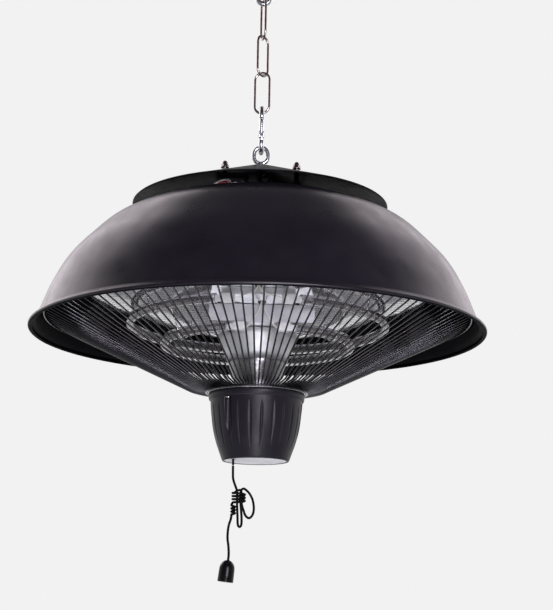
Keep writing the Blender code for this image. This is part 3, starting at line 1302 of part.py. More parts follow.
def make_terminal_box():
    """Terminal box between dome and rain cap: an open-fronted housing with block and gland."""
    foot = DOME_HEIGHT + GAP
    middle = level(foot + BOX_HEIGHT / 2)
    centre_y = BOX_BACK_Y - BOX_DEPTH / 2
    box = piece("terminal_box", box_mesh((BOX_WIDTH, BOX_DEPTH, BOX_HEIGHT), (BOX_X, centre_y, middle)),
                "inner_black")
    mouth_width = BOX_WIDTH * BOX_MOUTH_SHARE
    mouth_x = BOX_X - BOX_WIDTH / 2 + mouth_width / 2 - OVERRUN
    mouth = box_mesh((mouth_width, BOX_DEPTH, BOX_HEIGHT - 2 * BOX_WALL), (mouth_x, centre_y - BOX_WALL, middle))
    boolean(box, tool("box_mouth", mouth))
    gland_y = BOX_BACK_Y - BOX_DEPTH - GAP
    gland_axis = Vector((0, -1, 0))
    gland = piece("cable_gland", drum_mesh(GLAND_RADIUS, GLAND_LENGTH,
                                           (GLAND_X, gland_y - GLAND_LENGTH / 2, level(GLAND_HEIGHT)),
                                           gland_axis, tip=GLAND_TIP_RADIUS), "gloss_black")
    bore = drum_mesh(GLAND_BORE_RADIUS, GLAND_LENGTH,
                     (GLAND_X, gland_y - GLAND_LENGTH / 2 - OVERRUN / 2, level(GLAND_HEIGHT)), gland_axis)
    boolean(gland, tool("gland_bore", bore))
    block_foot = level(foot + BOX_WALL + GAP)
    block = piece("terminal_block", box_mesh((BLOCK_LENGTH, BLOCK_DEPTH, BLOCK_HEIGHT),
                                             (BLOCK_X, block_y(), block_foot + BLOCK_HEIGHT / 2)), "ceramic")
    block_top = block_foot + BLOCK_HEIGHT
    screws = []
    for number in range(TERMINAL_COUNT):
        x = BLOCK_X + BLOCK_LENGTH * ((number + 0.5) / TERMINAL_COUNT - 0.5)
        screws.append(pillar_mesh(TERMINAL_SCREW / 2, block_top + TERMINAL_SCREW_THICKNESS,
                                  block_top - TERMINAL_SCREW_THICKNESS, x, block_y(), HOLE_STEPS))
    boolean(block, tool("terminal_screws", joined(*screws)), "UNION")


def block_y():
    """Place of the terminal block in front of the terminal box's back wall."""
    return BOX_BACK_Y - 2 * BOX_WALL - GAP - BLOCK_DEPTH / 2


def polar(azimuth, radius, height, aside=0.0):
    """Place at an azimuth and radius, moved aside along the circle."""
    turn = Matrix.Rotation(azimuth, 4, "Z")
    return tuple(turn @ Vector((radius, aside, height)))


def make_power_leads():
    """Live and neutral lead from the terminal block through dome and column to the switch."""
    block_end = BLOCK_X - BLOCK_LENGTH / 2 - GAP
    block_height = DOME_HEIGHT + GAP + BOX_WALL + BLOCK_HEIGHT / 2
    for number, (name, finish) in enumerate((("live_lead", "red_lead"), ("neutral_lead", "white_lead"))):
        aside = (number - 0.5) * LEAD_SPACING
        start = (block_end, block_y() - aside, block_height)
        route = [start, (start[0] - LEAD, start[1], start[2])]
        route.append(polar(LEAD_HOLE_AZIMUTH, LEAD_HOLE_CIRCLE, DOME_HEIGHT + LEAD, aside))
        route.append(polar(LEAD_HOLE_AZIMUTH, LEAD_HOLE_CIRCLE, DOME_HEIGHT - LEAD * 3, aside))
        route += [polar(POWER_AZIMUTH, radius, height, aside) for radius, height in LEAD_SLACK_PLACES]
        route.append(polar(POWER_AZIMUTH, PASS_CIRCLE, HUB_HEIGHT + LEAD_RISE, aside))
        route.append(polar(POWER_AZIMUTH, PASS_CIRCLE, HUB_HEIGHT - LEAD_RISE, aside))
        route.append(polar(POWER_AZIMUTH, PASS_CIRCLE, SLEEVE_WAIST_HEIGHT, aside))
        route.append(polar(POWER_AZIMUTH, PASS_CIRCLE, COLLAR_FOOT_HEIGHT - LEAD, aside))
        end_x = SWITCH_X - SWITCH_LENGTH / 3
        end_y = SWITCH_Y - SWITCH_DEPTH / 3 - aside
        route.append((end_x, end_y, SWITCH_TOP_HEIGHT + LEAD))
        route.append((end_x, end_y, SWITCH_TOP_HEIGHT + GAP))
        wires(name, [smooth_path(in_world(route), LEAD_SPAN)], LEAD, finish, resolution=0)


def lamp_core(which, side):
    """Route of one core, from a ceramic block up through the dish to where the cores meet."""
    radius = RING_RADII[which]
    front, ceramic, _, _ = ring_angles(which)
    start = front + side * (ceramic - (CERAMIC_LENGTH / 2 + GAP) / radius)
    near = front + side * (ceramic - (CERAMIC_LENGTH / 2 + LEAD) / radius)
    aside = side * LEAD_SPACING / 2
    through = dish_surface(radius)
    route = [polar(start, radius, RING_HEIGHTS[which]), polar(near, radius, RING_HEIGHTS[which])]
    route.append(polar(front, radius, through - LEAD, aside))
    route.append(polar(front, radius, through + LEAD, aside))
    route.append(polar(front, radius, through + LEAD_RISE, aside / 4))
    route.append(polar(front, radius - LEAD, through + LEAD_RISE + LEAD, aside / 4))
    return smooth_path(in_world(route), LEAD_SPAN)


def lamp_cable(which):
    """Route of a ring's cable, from over its hole in the dish down the column to the switch."""
    radius = RING_RADII[which]
    front = ring_angles(which)[0]
    home = LAMP_AZIMUTHS[which]
    high = dish_surface(radius) + LEAD_RISE
    near_share, far_share = LAMP_BEND_SHARES
    route = [polar(front, radius, high - LEAD), polar(front, radius * near_share, high + LEAD)]
    route.append(polar(front, radius * far_share, high))
    route.append(polar(home, LAMP_TURN_RADIUS, HUB_HEIGHT + LAMP_TURN_RISE))
    route.append(polar(home, PASS_CIRCLE, HUB_HEIGHT + LEAD_RISE))
    route.append(polar(home, PASS_CIRCLE, HUB_HEIGHT - LEAD_RISE))
    route.append(polar(home, PASS_CIRCLE, COLLAR_FOOT_HEIGHT - LEAD))
    end_x = SWITCH_X + SWITCH_LENGTH * LAMP_END_SHARES[which]
    end_y = SWITCH_Y - SWITCH_DEPTH / 3
    route.append((end_x, end_y, SWITCH_TOP_HEIGHT + LEAD * 1.5))
    route.append((end_x, end_y, SWITCH_TOP_HEIGHT + GAP))
    return smooth_path(in_world(route), LEAD_SPAN)


def make_lamp_cables():
    """Two-core cables of the rings, their cores parted at the ceramic blocks."""
    for which in RING_RADII:
        cable = piece(which + "_lamp_cable", wire_mesh(lamp_cable(which), LAMP_CABLE, resolution=0),
                      "white_lead")
        for side, label in ((-1, "left"), (1, "right")):
            core = wire_mesh(lamp_core(which, side), LEAD, resolution=0)
            boolean(cable, tool(which + "_core_" + label, core), "UNION")


def helix(centre, radius, pitch, turns, points, start):
    """Places on a helix that winds down from a centre, in heights over the rim plane."""
    path = []
    for number in range(turns * points + 1):
        angle = start + 2 * math.pi * number / points
        path.append((centre[0] + radius * math.cos(angle), centre[1] + radius * math.sin(angle),
                     centre[2] - pitch * number / points))
    return path


def beyond(place, before, distance):
    """Place a distance past the end of a route, straight on from the place before it."""
    end = Vector(place)
    return tuple(end + (end - Vector(before)).normalized() * distance)


def hank_path():
    """Places along the whole hank, one unbroken run of cord from upper to lower stretch."""
    end, before = UPPER_ROUTE[-1], UPPER_ROUTE[-2]
    start, after = LOWER_ROUTE[0], LOWER_ROUTE[1]
    route = [beyond(end, before, GAP), beyond(end, before, GAP + CORD)]
    route += STRAND_ROUTE
    route += helix(WRAP_PLACE, WRAP_RADIUS, WRAP_PITCH, WRAP_TURNS, WRAP_POINTS, WRAP_START)
    route += TAIL_ROUTE
    route += helix(TAIL_PLACE, TAIL_RADIUS, TAIL_PITCH, TAIL_TURNS, TAIL_POINTS, TAIL_START)
    route += EXIT_ROUTE
    route += [beyond(start, after, GAP + CORD), beyond(start, after, GAP)]
    return smooth_path(in_world(route), HANK_SPAN)


def least_self_gap(path, width):
    """Least distance between a cord's own surfaces, leaving out places next to each other."""
    places = []
    for here, there in zip(path, path[1:]):
        places += [here.lerp(there, part / 4) for part in range(4)]
    travel = [0]
    for here, there in zip(places, places[1:]):
        travel.append(travel[-1] + (there - here).length)
    least = travel[-1]
    for number, here in enumerate(places):
        for other in range(number + 1, len(places)):
            if travel[other] - travel[number] > 2 * width:
                least = min(least, (places[other] - here).length)
    return least - width


def bell_frame():
    """Frame of the bell: its top at the frame's origin, tilted about the Y axis."""
    x, y, height = BELL_PLACE
    return Matrix.Translation((x, y, level(height))) @ Matrix.Rotation(BELL_TILT, 4, "Y")


def make_cord():
    """Cord under the stem: upper stretch, tied hank, lower stretch, and the bell on its end."""
    wires("pull_cord_upper", [smooth_path(in_world(UPPER_ROUTE), CORD_SPAN)], CORD, "cord", resolution=1)
    hank = hank_path()
    wires("pull_cord_hank", [hank], CORD, "cord", resolution=1)
    print("least gap of the hank to itself: {:.5f} m".format(least_self_gap(hank, CORD)))
    frame = bell_frame()
    lower = in_world(LOWER_ROUTE) + [frame @ Vector((0, 0, CORD)), frame @ Vector((0, 0, GAP - BELL_HOLE_DEPTH))]
    wires("pull_cord_lower", [smooth_path(lower, CORD_SPAN)], CORD, "cord", resolution=1)
    outline = [(0, 0), (BELL_HOLE_RADIUS + 2 * GAP, 0)]
    outline += [(BELL_RADIUS * across, -BELL_LENGTH * down) for across, down in BELL_SIDE_SHARES]
    outline.append((0, -BELL_LENGTH))
    bell = solid_of(turned_tool("bell", outline, SMALL_STEPS))
    bell.transform(frame @ Matrix.Translation((0, 0, -RIM_Z)))
    body = piece("pull_bell", bell, "gloss_black")
    hole = pillar_mesh(BELL_HOLE_RADIUS, OVERRUN, -BELL_HOLE_DEPTH)
    hole.transform(frame)
    boolean(body, tool("bell_hole", hole))


def make_bodies():
    """Hang each moving group of pieces on an empty that stands on its joint's axis."""
    _, hinge, nose = hook_places()
    gate = gate_pivot(hinge, nose)
    upper_gate = hook_frame(UPPER_HOOK_TOP, UPPER_HOOK_TURN) @ gate
    lower_gate = hook_frame(LOWER_HOOK_TOP, LOWER_HOOK_TURN) @ gate
    cord_top = Vector((PULL_PIVOT[0], PULL_PIVOT[1], level(PULL_PIVOT[2])))
    rows = [
        ("upper_hook", None, Vector(), ("upper_snap_hook",)),
        ("upper_gate", "upper_hook", upper_gate, ("upper_hook_gate",)),
        ("link_3", "upper_hook", Vector((0, 0, UPPER_HOOK_FOOT)), ("chain_link_3",)),
        ("link_2", "link_3", Vector((0, 0, LINK_FEET[0])), ("chain_link_2",)),
        ("link_1", "link_2", Vector((0, 0, LINK_FEET[1])), ("chain_link_1",)),
        ("lower_hook", "link_1", Vector((0, 0, LINK_FEET[2])), ("lower_snap_hook",)),
        ("lower_gate", "lower_hook", lower_gate, ("lower_hook_gate",)),
        ("heater", "lower_hook", Vector((0, 0, LOWER_HOOK_FOOT)), ()),
        ("pull", "heater", Vector((PULL_X, PULL_Y, level(STEM_TOP_HEIGHT))), ("pull_stem",)),
        ("lever", "heater", lever_pivot(), ("switch_lever",)),
        ("cord", "pull", cord_top, ("pull_cord_upper", "pull_cord_hank", "pull_cord_lower", "pull_bell")),
    ]
    loose = {thing.name for thing in bpy.data.collections[PARTS].objects}
    places = {}
    for name, parent, place, members in rows:
        empty = bpy.data.objects.new(name + "_joint", None)
        bpy.data.collections[PARTS].objects.link(empty)
        empty.parent = bpy.data.objects[parent + "_joint"] if parent else None
        empty.location = place - places.get(parent, Vector())
        places[name] = place
        for member in members:
            hang_on(bpy.data.objects[member], empty, place)
            loose.discard(member)
    for member in sorted(loose):
        hang_on(bpy.data.objects[member], bpy.data.objects["heater_joint"], places["heater"])


def hang_on(thing, empty, place):
    """Parent a piece to an empty, where it stands."""
    thing.parent = empty
    thing.location = -place


def main():
    start_scene()
    make_hooks()
    make_links()
    make_eye_bolt()
    make_rain_cap()
    make_dome()
    make_mounting_plate()
    make_centre_tube()
    make_hub()
    make_dish()
    make_column()
    for which in RING_RADII:
        make_quartz_ring(which)
        make_ceramic_ends(which)
        make_end_bracket(which)
    make_ring_supports()
    make_guard()
    make_collar()
    make_cup()
    make_bottom_disc()
    make_pull_stem()
    make_return_spring()
    make_switch()
    make_switch_bracket()
    make_terminal_box()
    make_power_leads()
    make_lamp_cables()
    make_cord()
    make_bodies()


main()
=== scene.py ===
"""Looks of a hanging electric patio heater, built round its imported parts.

Lengths are metres and +Z is up. A height is measured from the rim plane of the shade, and at() turns it into
a world height. An azimuth of 0 points along +X, and the rings' ends are at -90 degrees.
"""
from __future__ import annotations

import json
import logging
import math
from dataclasses import dataclass
from enum import Enum
from typing import Callable, Sequence, Union

import bmesh
import bpy
from bpy.types import Material, Mesh, Node, NodeSocket, NodeTree, Object
from mathutils import Matrix, Vector

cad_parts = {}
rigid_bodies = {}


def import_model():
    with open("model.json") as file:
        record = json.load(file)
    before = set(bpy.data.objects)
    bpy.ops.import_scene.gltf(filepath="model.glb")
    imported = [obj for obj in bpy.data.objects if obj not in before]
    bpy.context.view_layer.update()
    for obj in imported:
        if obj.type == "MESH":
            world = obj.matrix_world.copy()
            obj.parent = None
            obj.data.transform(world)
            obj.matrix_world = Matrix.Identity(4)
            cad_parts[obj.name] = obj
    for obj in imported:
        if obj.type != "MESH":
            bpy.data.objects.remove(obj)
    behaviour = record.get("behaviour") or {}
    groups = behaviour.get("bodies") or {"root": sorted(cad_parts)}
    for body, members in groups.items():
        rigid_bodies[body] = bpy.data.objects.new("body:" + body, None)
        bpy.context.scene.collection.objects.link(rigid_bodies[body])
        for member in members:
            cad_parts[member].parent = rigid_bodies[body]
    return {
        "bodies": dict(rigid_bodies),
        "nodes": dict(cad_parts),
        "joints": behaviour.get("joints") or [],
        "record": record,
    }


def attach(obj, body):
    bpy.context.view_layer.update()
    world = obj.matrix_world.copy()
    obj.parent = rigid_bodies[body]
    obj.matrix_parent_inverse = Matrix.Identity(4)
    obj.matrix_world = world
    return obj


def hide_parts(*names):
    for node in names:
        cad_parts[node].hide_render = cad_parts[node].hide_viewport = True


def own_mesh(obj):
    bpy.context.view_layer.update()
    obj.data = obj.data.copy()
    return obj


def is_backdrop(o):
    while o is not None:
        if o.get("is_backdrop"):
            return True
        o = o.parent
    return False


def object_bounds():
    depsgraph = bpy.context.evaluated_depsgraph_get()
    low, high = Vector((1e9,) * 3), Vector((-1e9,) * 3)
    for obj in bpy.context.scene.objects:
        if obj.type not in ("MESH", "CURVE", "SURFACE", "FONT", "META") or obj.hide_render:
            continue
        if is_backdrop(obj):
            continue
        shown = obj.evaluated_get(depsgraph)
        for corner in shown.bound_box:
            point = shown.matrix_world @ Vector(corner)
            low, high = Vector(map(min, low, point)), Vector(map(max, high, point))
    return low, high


LOG = logging.getLogger("patio_heater")
# World height of the rim plane
RIM_Z = -0.46145
# Play between pieces that don't touch
GAP = 0.0003
MM = 0.001
# X and Y of the pull stem, behind the cup's middle
STEM = (-0.0248, -0.014)
# Azimuth in degrees where the leads pass through the shade
LEAD_PASS = -139.0
# The dish has a flat middle, and outside it a cone with this slope
FLAT_RADIUS = 0.048
FLAT_HEIGHT = 0.004
DISH_SLOPE = 0.23103
# Studs, cap nuts and guard tabs start an eighth of a turn from +X
EIGHTH = math.radians(45)
Radius = Union[float, Callable[[float, float], float]]
Row = tuple[Radius, float]
Given = Union[float, NodeSocket]


def at(height: float) -> float:
    """World height of a height over the rim plane."""
    return RIM_Z + height


def linear(hex_text: str) -> tuple[float, float, float, float]:
    """Linear colour of an sRGB hex value.

    Args:
        hex_text: Six hex digits after a hash.

    Returns:
        Red, green, blue and an alpha of 1.
    """
    parts = [int(hex_text[start:start + 2], 16) / 255 for start in (1, 3, 5)]
    red, green, blue = (part / 12.92 if part <= 0.04045 else ((part + 0.055) / 1.055) ** 2.4 for part in parts)
    return red, green, blue, 1.0


def add_node(tree: NodeTree, kind: str, inputs: dict | None = None, **settings) -> Node:
    """Add a node with its settings and links.

    Args:
        tree: The shader or geometry tree.
        kind: The node's type name.
        inputs: A value or an output socket for each input's name or number.
        settings: Values for the node's own properties.

    Returns:
        The new node.
    """
    node = tree.nodes.new(kind)
    for name, value in settings.items():
        setattr(node, name, value)
    for key, value in (inputs or {}).items():
        if isinstance(value, NodeSocket):
            tree.links.new(value, node.inputs[key])
        else:
            node.inputs[key].default_value = value
    return node


def socket(tree: NodeTree, kind: str, inputs: dict | None = None, **settings) -> NodeSocket:
    """First output of a new node, which add_node() makes."""
    return add_node(tree, kind, inputs, **settings).outputs[0]


def calc(tree: NodeTree, operation: str, *values: Given) -> NodeSocket:
    """Result of a math node."""
    return socket(tree, "ShaderNodeMath", dict(enumerate(values)), operation=operation)


def vector(tree: NodeTree, x: Given = 0.0, y: Given = 0.0, z: Given = 0.0) -> NodeSocket:
    """Vector of three values."""
    return socket(tree, "ShaderNodeCombineXYZ", {0: x, 1: y, 2: z})


def noise(tree: NodeTree, place: Given, scale: float, detail: float) -> NodeSocket:
    """Soft noise in space."""
    return add_node(tree, "ShaderNodeTexNoise", {"Vector": place, "Scale": scale, "Detail": detail}).outputs["Fac"]


def remap(tree: NodeTree, value: Given, source: tuple[float, float],
          target: tuple[float, float] = (0.0, 1.0)) -> NodeSocket:
    """Value moved from one range to another, and kept inside it."""
    return socket(tree, "ShaderNodeMapRange", {"Value": value, "From Min": source[0], "From Max": source[1],
                                               "To Min": target[0], "To Max": target[1]})


def ray_kinds(tree: NodeTree) -> tuple[NodeSocket, NodeSocket]:
    """Tell the rays of a tree apart.

    Args:
        tree: A material's or the world's tree.

    Returns:
        An output that is 1 for what is seen directly or through glass, and one that is 1 for a mirrored ray.
    """
    rays = add_node(tree, "ShaderNodeLightPath").outputs
    return calc(tree, "MAXIMUM", rays["Is Camera Ray"], rays["Is Transmission Ray"]), rays["Is Glossy Ray"]


class Grain(Enum):
    """How the fine relief of a surface lies."""

    PEEL = "soft dimples of a sprayed and baked coat"
    SPARK = "fine pits of a spark-eroded mould"
    DRAWN = "lines along a drawn or rolled wire or sheet"
    SPUN = "rings that the spinning tool leaves"
    CAST = "loose grains of a pressed ceramic"


@dataclass(frozen=True)
class Finish:
    """A surface finish: a base colour that drifts in patches, uneven gloss and a fine relief.

    The slot is the record's material slot of the pieces that wear the finish.
    """

    name: str
    slot: str
    colour: str
    shade: str
    roughness: float
    metallic: float = 0.0
    grain: Grain = Grain.PEEL
    grain_mm: float = 1.0
    depth_mm: float = 0.02
    patch_mm: float = 30.0
    uneven: float = 0.05
    specular: float = 0.5

    def material(self) -> Material:
        """Material of this finish, made once."""
        return bpy.data.materials.get(self.name) or self.build()

    def build(self) -> Material:
        """Make the material.

        Returns:
            A material that reads Object coordinates only.
        """
        look = bpy.data.materials.new(self.name)
        look.use_nodes = True
        tree = look.node_tree
        tree.nodes.clear()
        place = add_node(tree, "ShaderNodeTexCoord").outputs["Object"]
        patches = remap(tree, noise(tree, place, 1 / (self.patch_mm * MM), 3.0), (0.35, 0.65))
        tint = add_node(tree, "ShaderNodeMix", {0: patches, 6: linear(self.colour), 7: linear(self.shade)},
                        data_type="RGBA")
        gloss = remap(tree, noise(tree, place, 4 / (self.patch_mm * MM), 4.0), (0.3, 0.7),
                      (max(self.roughness - self.uneven, 0.02), self.roughness + self.uneven))
        relief = socket(tree, "ShaderNodeBump", {"Height": self.relief(tree, place), "Strength": 1.0,
                                                 "Distance": self.depth_mm * MM})
        shader = add_node(tree, "ShaderNodeBsdfPrincipled", {"Base Color": tint.outputs[2], "Roughness": gloss,
                                                             "Normal": relief, "Metallic": self.metallic})
        if not self.metallic:
            shader.inputs["Specular IOR Level"].default_value = self.specular
        self.adjust(shader)
        add_node(tree, "ShaderNodeOutputMaterial", {"Surface": shader.outputs[0]})
        return look

    def adjust(self, shader: Node) -> None:
        """Set what only some finishes have."""

    def relief(self, tree: NodeTree, place: NodeSocket) -> NodeSocket:
        """Height of the fine relief.

        Args:
            tree: The material's tree.
            place: Object coordinates.

        Returns:
            Output of the node that draws the grain.
        """
        scale = 1 / (self.grain_mm * MM)
        if self.grain is Grain.SPUN:
            parts = add_node(tree, "ShaderNodeSeparateXYZ", {0: place}).outputs
            reach = add_node(tree, "ShaderNodeVectorMath", {0: vector(tree, parts[0], parts[1])},
                             operation="LENGTH").outputs["Value"]
            return add_node(tree, "ShaderNodeTexNoise", {"W": reach, "Scale": scale, "Detail": 2.0},
                            noise_dimensions="1D").outputs["Fac"]
        if self.grain is Grain.DRAWN:
            long = socket(tree, "ShaderNodeMapping", {"Vector": place, "Scale": (1.0, 1.0, 0.04)})
            return noise(tree, long, scale, 3.0)
        if self.grain is Grain.SPARK:
            return add_node(tree, "ShaderNodeTexVoronoi", {"Vector": place, "Scale": scale},
                            feature="SMOOTH_F1").outputs["Distance"]
        return noise(tree, place, scale, 6.0 if self.grain is Grain.CAST else 1.0)


@dataclass(frozen=True)
class ClearGlass(Finish):
    """Fused quartz: clear, with faint draw lines along the tube."""

    def adjust(self, shader: Node) -> None:
        """Let light through at the refraction of quartz."""
        shader.inputs["Transmission Weight"].default_value = 1.0
        shader.inputs["IOR"].default_value = 1.458


@dataclass(frozen=True)
class Braid(Finish):
    """Braided cord cover: strands cross each other on the piece's own UV map."""

    strands: int = 6
    pitch_mm: float = 3.2

    def relief(self, tree: NodeTree, place: NodeSocket) -> NodeSocket:
        """Height of the crossing strands.

        Args:
            tree: The material's tree.
            place: Object coordinates, not needed on a cord.

        Returns:
            Output that is high on each strand's back.
        """
        parts = add_node(tree, "ShaderNodeSeparateXYZ", {0: socket(tree, "ShaderNodeUVMap", uv_map="run")}).outputs
        around = calc(tree, "MULTIPLY", parts[0], 2 * math.pi * self.strands)
        along = 2 * math.pi / (self.pitch_mm * MM)
        return calc(tree, "MAXIMUM", *(calc(tree, "SINE", calc(tree, "MULTIPLY_ADD", parts[1], along * side, around))
                                       for side in (1, -1)))


@dataclass(frozen=True)
class PaleFloor(Finish):
    """Painted floor that shows as pale as the background and still takes a shadow."""

    glow: float = 0.42

    def adjust(self, shader: Node) -> None:
        """Add a glow for the rays that show the floor, which lights nothing.

        Args:
            shader: The floor's shader.
        """
        tree = shader.id_data
        glow = calc(tree, "MULTIPLY", ray_kinds(tree)[0], self.glow)
        tree.links.new(glow, shader.inputs["Emission Strength"])
        shader.inputs["Emission Color"].default_value = linear(self.colour)


# Powder coat on spun steel: satin, nearly black, with a soft orange peel
SHADE_COAT = Finish("satin_black_powder_coat", "satin_black", "#131017", "#18151D", roughness=0.31, grain_mm=1.6,
                    depth_mm=0.010, patch_mm=90, specular=0.36)
# The same coat inside the shade and under the bead, thinner and duller, and coloured darker there as painted shade
SHADED_INNER_COAT = Finish("dull_black_painted_shade_coat", "satin_black", "#070608", "#0B0A0C", roughness=0.6, grain_mm=1.2,
                    specular=0.03)
# Enamel on the rain cap: a little greyer than the shade, with long shallow waves
CAP_COAT = Finish("black_enamel", "satin_black", "#151418", "#1A191D", roughness=0.36, grain_mm=2.2, depth_mm=0.004,
                  specular=0.05)
# Bright zinc plating on formed steel: silvery with a faint warm drift
ZINC = Finish("bright_zinc_plating", "zinc", "#D6D7DA", "#BDBEC2", roughness=0.26, metallic=1.0, grain=Grain.CAST,
              grain_mm=0.8, depth_mm=0.0015, patch_mm=6)
# Nickel plating on chain and nuts: browner than zinc
NICKEL = Finish("nickel_plating", "nickel", "#B4AAA8", "#9A9090", roughness=0.22, metallic=1.0, grain=Grain.CAST,
                grain_mm=0.7, depth_mm=0.001, patch_mm=5)
# Spun and polished aluminium of the dish: rings so fine that it still mirrors
MIRROR = Finish("polished_spun_aluminium", "polished_aluminium", "#ECECEF", "#DDDDE1", roughness=0.09, metallic=1.0,
                grain=Grain.SPUN, grain_mm=2.0, depth_mm=0.002, patch_mm=60, uneven=0.03)
# The column is only brushed after spinning, so it glows evenly where the dish mirrors
SATIN = Finish("satin_spun_aluminium", "polished_aluminium", "#EDEDF0", "#E2E2E6", roughness=0.54, metallic=1.0,
               grain=Grain.SPUN, grain_mm=1.0, depth_mm=0.004)
# Aluminised steel sheet: a matt silvery skin that takes light from all sides
ALUMINISED = Finish("aluminised_sheet", "brushed_steel", "#C9C9CE", "#BABAC0", roughness=0.42, metallic=0.45,
                    grain=Grain.DRAWN, grain_mm=0.8, depth_mm=0.006, patch_mm=18)
# Rolled stainless sheet with its grain upright
SHEET = Finish("rolled_stainless_sheet", "brushed_steel", "#A3A1A6", "#8F8D92", roughness=0.3, metallic=1.0,
               grain=Grain.DRAWN, grain_mm=0.5, depth_mm=0.006, patch_mm=14)
# Chromed guard wire, with its base colour made far darker than chrome's: painted shade for the dark shade that it
# mirrors
GUARD = Finish("chromed_guard_wire", "guard_wire", "#454448", "#3B3A3E", roughness=0.14, metallic=1.0,
               grain=Grain.DRAWN, grain_mm=0.6, depth_mm=0.001, patch_mm=9, uneven=0.03)
# Resistance wire, grey and dull from its oxide
COIL = Finish("oxidised_resistance_wire", "heating_wire", "#8F8A84", "#6E6A66", roughness=0.45, metallic=1.0,
              grain=Grain.CAST, grain_mm=0.3, depth_mm=0.01, patch_mm=4)
# Drawn quartz tube: clear, with long faint waves where it was pulled
QUARTZ = ClearGlass("fused_quartz", "quartz", "#F4F3F6", "#EFEEF2", roughness=0.03, grain=Grain.DRAWN, grain_mm=2,
                    depth_mm=0.004, uneven=0.02)
# Steatite, pressed and fired: matt, off-white, faintly speckled
STEATITE = Finish("steatite_ceramic", "ceramic", "#E6E6E9", "#DAD9DC", roughness=0.55, grain=Grain.CAST, grain_mm=0.5,
                  depth_mm=0.03, patch_mm=5)
# ABS moulded in a spark-eroded tool: a soft sheen
CUP_ABS = Finish("black_abs", "black_plastic", "#17151B", "#1B1920", roughness=0.38, grain=Grain.SPARK, grain_mm=0.35,
                 depth_mm=0.003, patch_mm=40, specular=0.2)
# The box's plain moulding, from a coarser tool: no sheen
DULL_ABS = Finish("dull_black_abs", "inner_black", "#131216", "#1A191D", roughness=0.55, grain=Grain.SPARK,
                  grain_mm=0.3, depth_mm=0.01)
# Bell, gland and stem from a polished tool: glossy
GLOSS_ABS = Finish("gloss_black_abs", "gloss_black", "#08080A", "#0C0C0E", roughness=0.24, grain_mm=3, depth_mm=0.002,
                   specular=0.18)
# Undyed moulding of disc and lever: pale, with a faint texture
PALE_ABS = Finish("pale_abs", "pale_plastic", "#CDCBD2", "#C5C3CA", roughness=0.42, grain=Grain.SPARK, grain_mm=0.4,
                  depth_mm=0.006)
# Moulded rubber: matt, with a fine bloom
RUBBER = Finish("black_rubber", "rubber", "#101012", "#17171A", roughness=0.75, grain=Grain.CAST, grain_mm=0.3,
                depth_mm=0.01)
# Extruded insulation of the live lead: even and softly waxy
RED_SLEEVE = Finish("red_lead_sleeve", "red_lead", "#A01F24", "#8C1A1F", roughness=0.45, grain_mm=0.8, depth_mm=0.01)
# The same insulation, undyed
WHITE_SLEEVE = Finish("white_lead_sleeve", "white_lead", "#E4E2E0", "#D8D5D2", roughness=0.45, grain_mm=0.8,
                      depth_mm=0.01)
# Braided polyester: strands that cross, and no sheen
CORD = Braid("braided_cord", "cord", "#060607", "#0A0A0B", roughness=0.8, depth_mm=0.08, patch_mm=3, specular=0.08)
# Rolled paint on the studio's floor
FLOOR = PaleFloor("pale_studio_floor", "", "#EDEDEE", "#E9E9EA", roughness=0.8, grain=Grain.CAST, grain_mm=3,
                  depth_mm=0.05, patch_mm=400, specular=0.1)


def linked(name: str, data: bpy.types.ID) -> Object:
    """New object in the scene.

    Args:
        name: Its name.
        data: Its mesh, lamp or camera data.

    Returns:
        The object.
    """
    thing = bpy.data.objects.new(name, data)
    bpy.context.scene.collection.objects.link(thing)
    return thing


def as_modified(thing: Object) -> Mesh:
    """Plain mesh of an object as its modifiers leave it."""
    bpy.context.view_layer.update()
    return bpy.data.meshes.new_from_object(thing.evaluated_get(bpy.context.evaluated_depsgraph_get()))


def finished(shape: bmesh.types.BMesh, crease: float = 32.0) -> Mesh:
    """Turn a bmesh into smooth mesh data with sharp creases.

    Args:
        shape: The shape, which is freed.
        crease: Angle in degrees from which an edge stays sharp, or 0 to leave every edge as it is.

    Returns:
        The mesh.
    """
    for edge in shape.edges if crease else ():
        edge.smooth = len(edge.link_faces) == 2 and edge.calc_face_angle(0.0) < math.radians(crease)
    for face in shape.faces if crease else ():
        face.smooth = True
    data = bpy.data.meshes.new("shape")
    shape.to_mesh(data)
    shape.free()
    return data


def radius_at(radius: Radius, azimuth: float, height: float) -> float:
    """Radius of a row at an azimuth and height."""
    return radius(azimuth, height) if callable(radius) else radius


def revolve(rows: Sequence[Row], steps: int | Sequence[float], closed: bool = False,
            inner_from: int | None = None) -> Mesh:
    """Turn an outline about the heater's axis.

    Args:
        rows: Radius and height of each row, down the outer side first.
        steps: How many columns, or their azimuths.
        closed: Whether the last row joins the first.
        inner_from: Row from which faces take the second material.

    Returns:
        The mesh, with its faces outwards.
    """
    shape = bmesh.new()
    columns = [2 * math.pi * number / steps for number in range(steps)] if isinstance(steps, int) else list(steps)
    rings: list[list[bmesh.types.BMVert]] = []
    for radius, height in rows:
        if radius == 0:
            rings.append([shape.verts.new((0, 0, at(height)))] * len(columns))
            continue
        ring = []
        for azimuth in columns:
            reach = radius_at(radius, azimuth, height)
            ring.append(shape.verts.new((reach * math.cos(azimuth), reach * math.sin(azimuth), at(height))))
        rings.append(ring)
    pairs = list(zip(rings, rings[1:])) + ([(rings[-1], rings[0])] if closed else [])
    for number, (upper, lower) in enumerate(pairs):
        for here in range(len(columns)):
            there = (here + 1) % len(columns)
            # On the axis two corners of a face are one, and a face needs three
            places = list(dict.fromkeys((upper[here], lower[here], lower[there], upper[there])))
            if len(places) > 2:
                face = shape.faces.new(places)
                face.material_index = int(inner_from is not None and number >= inner_from)
    return finished(shape)


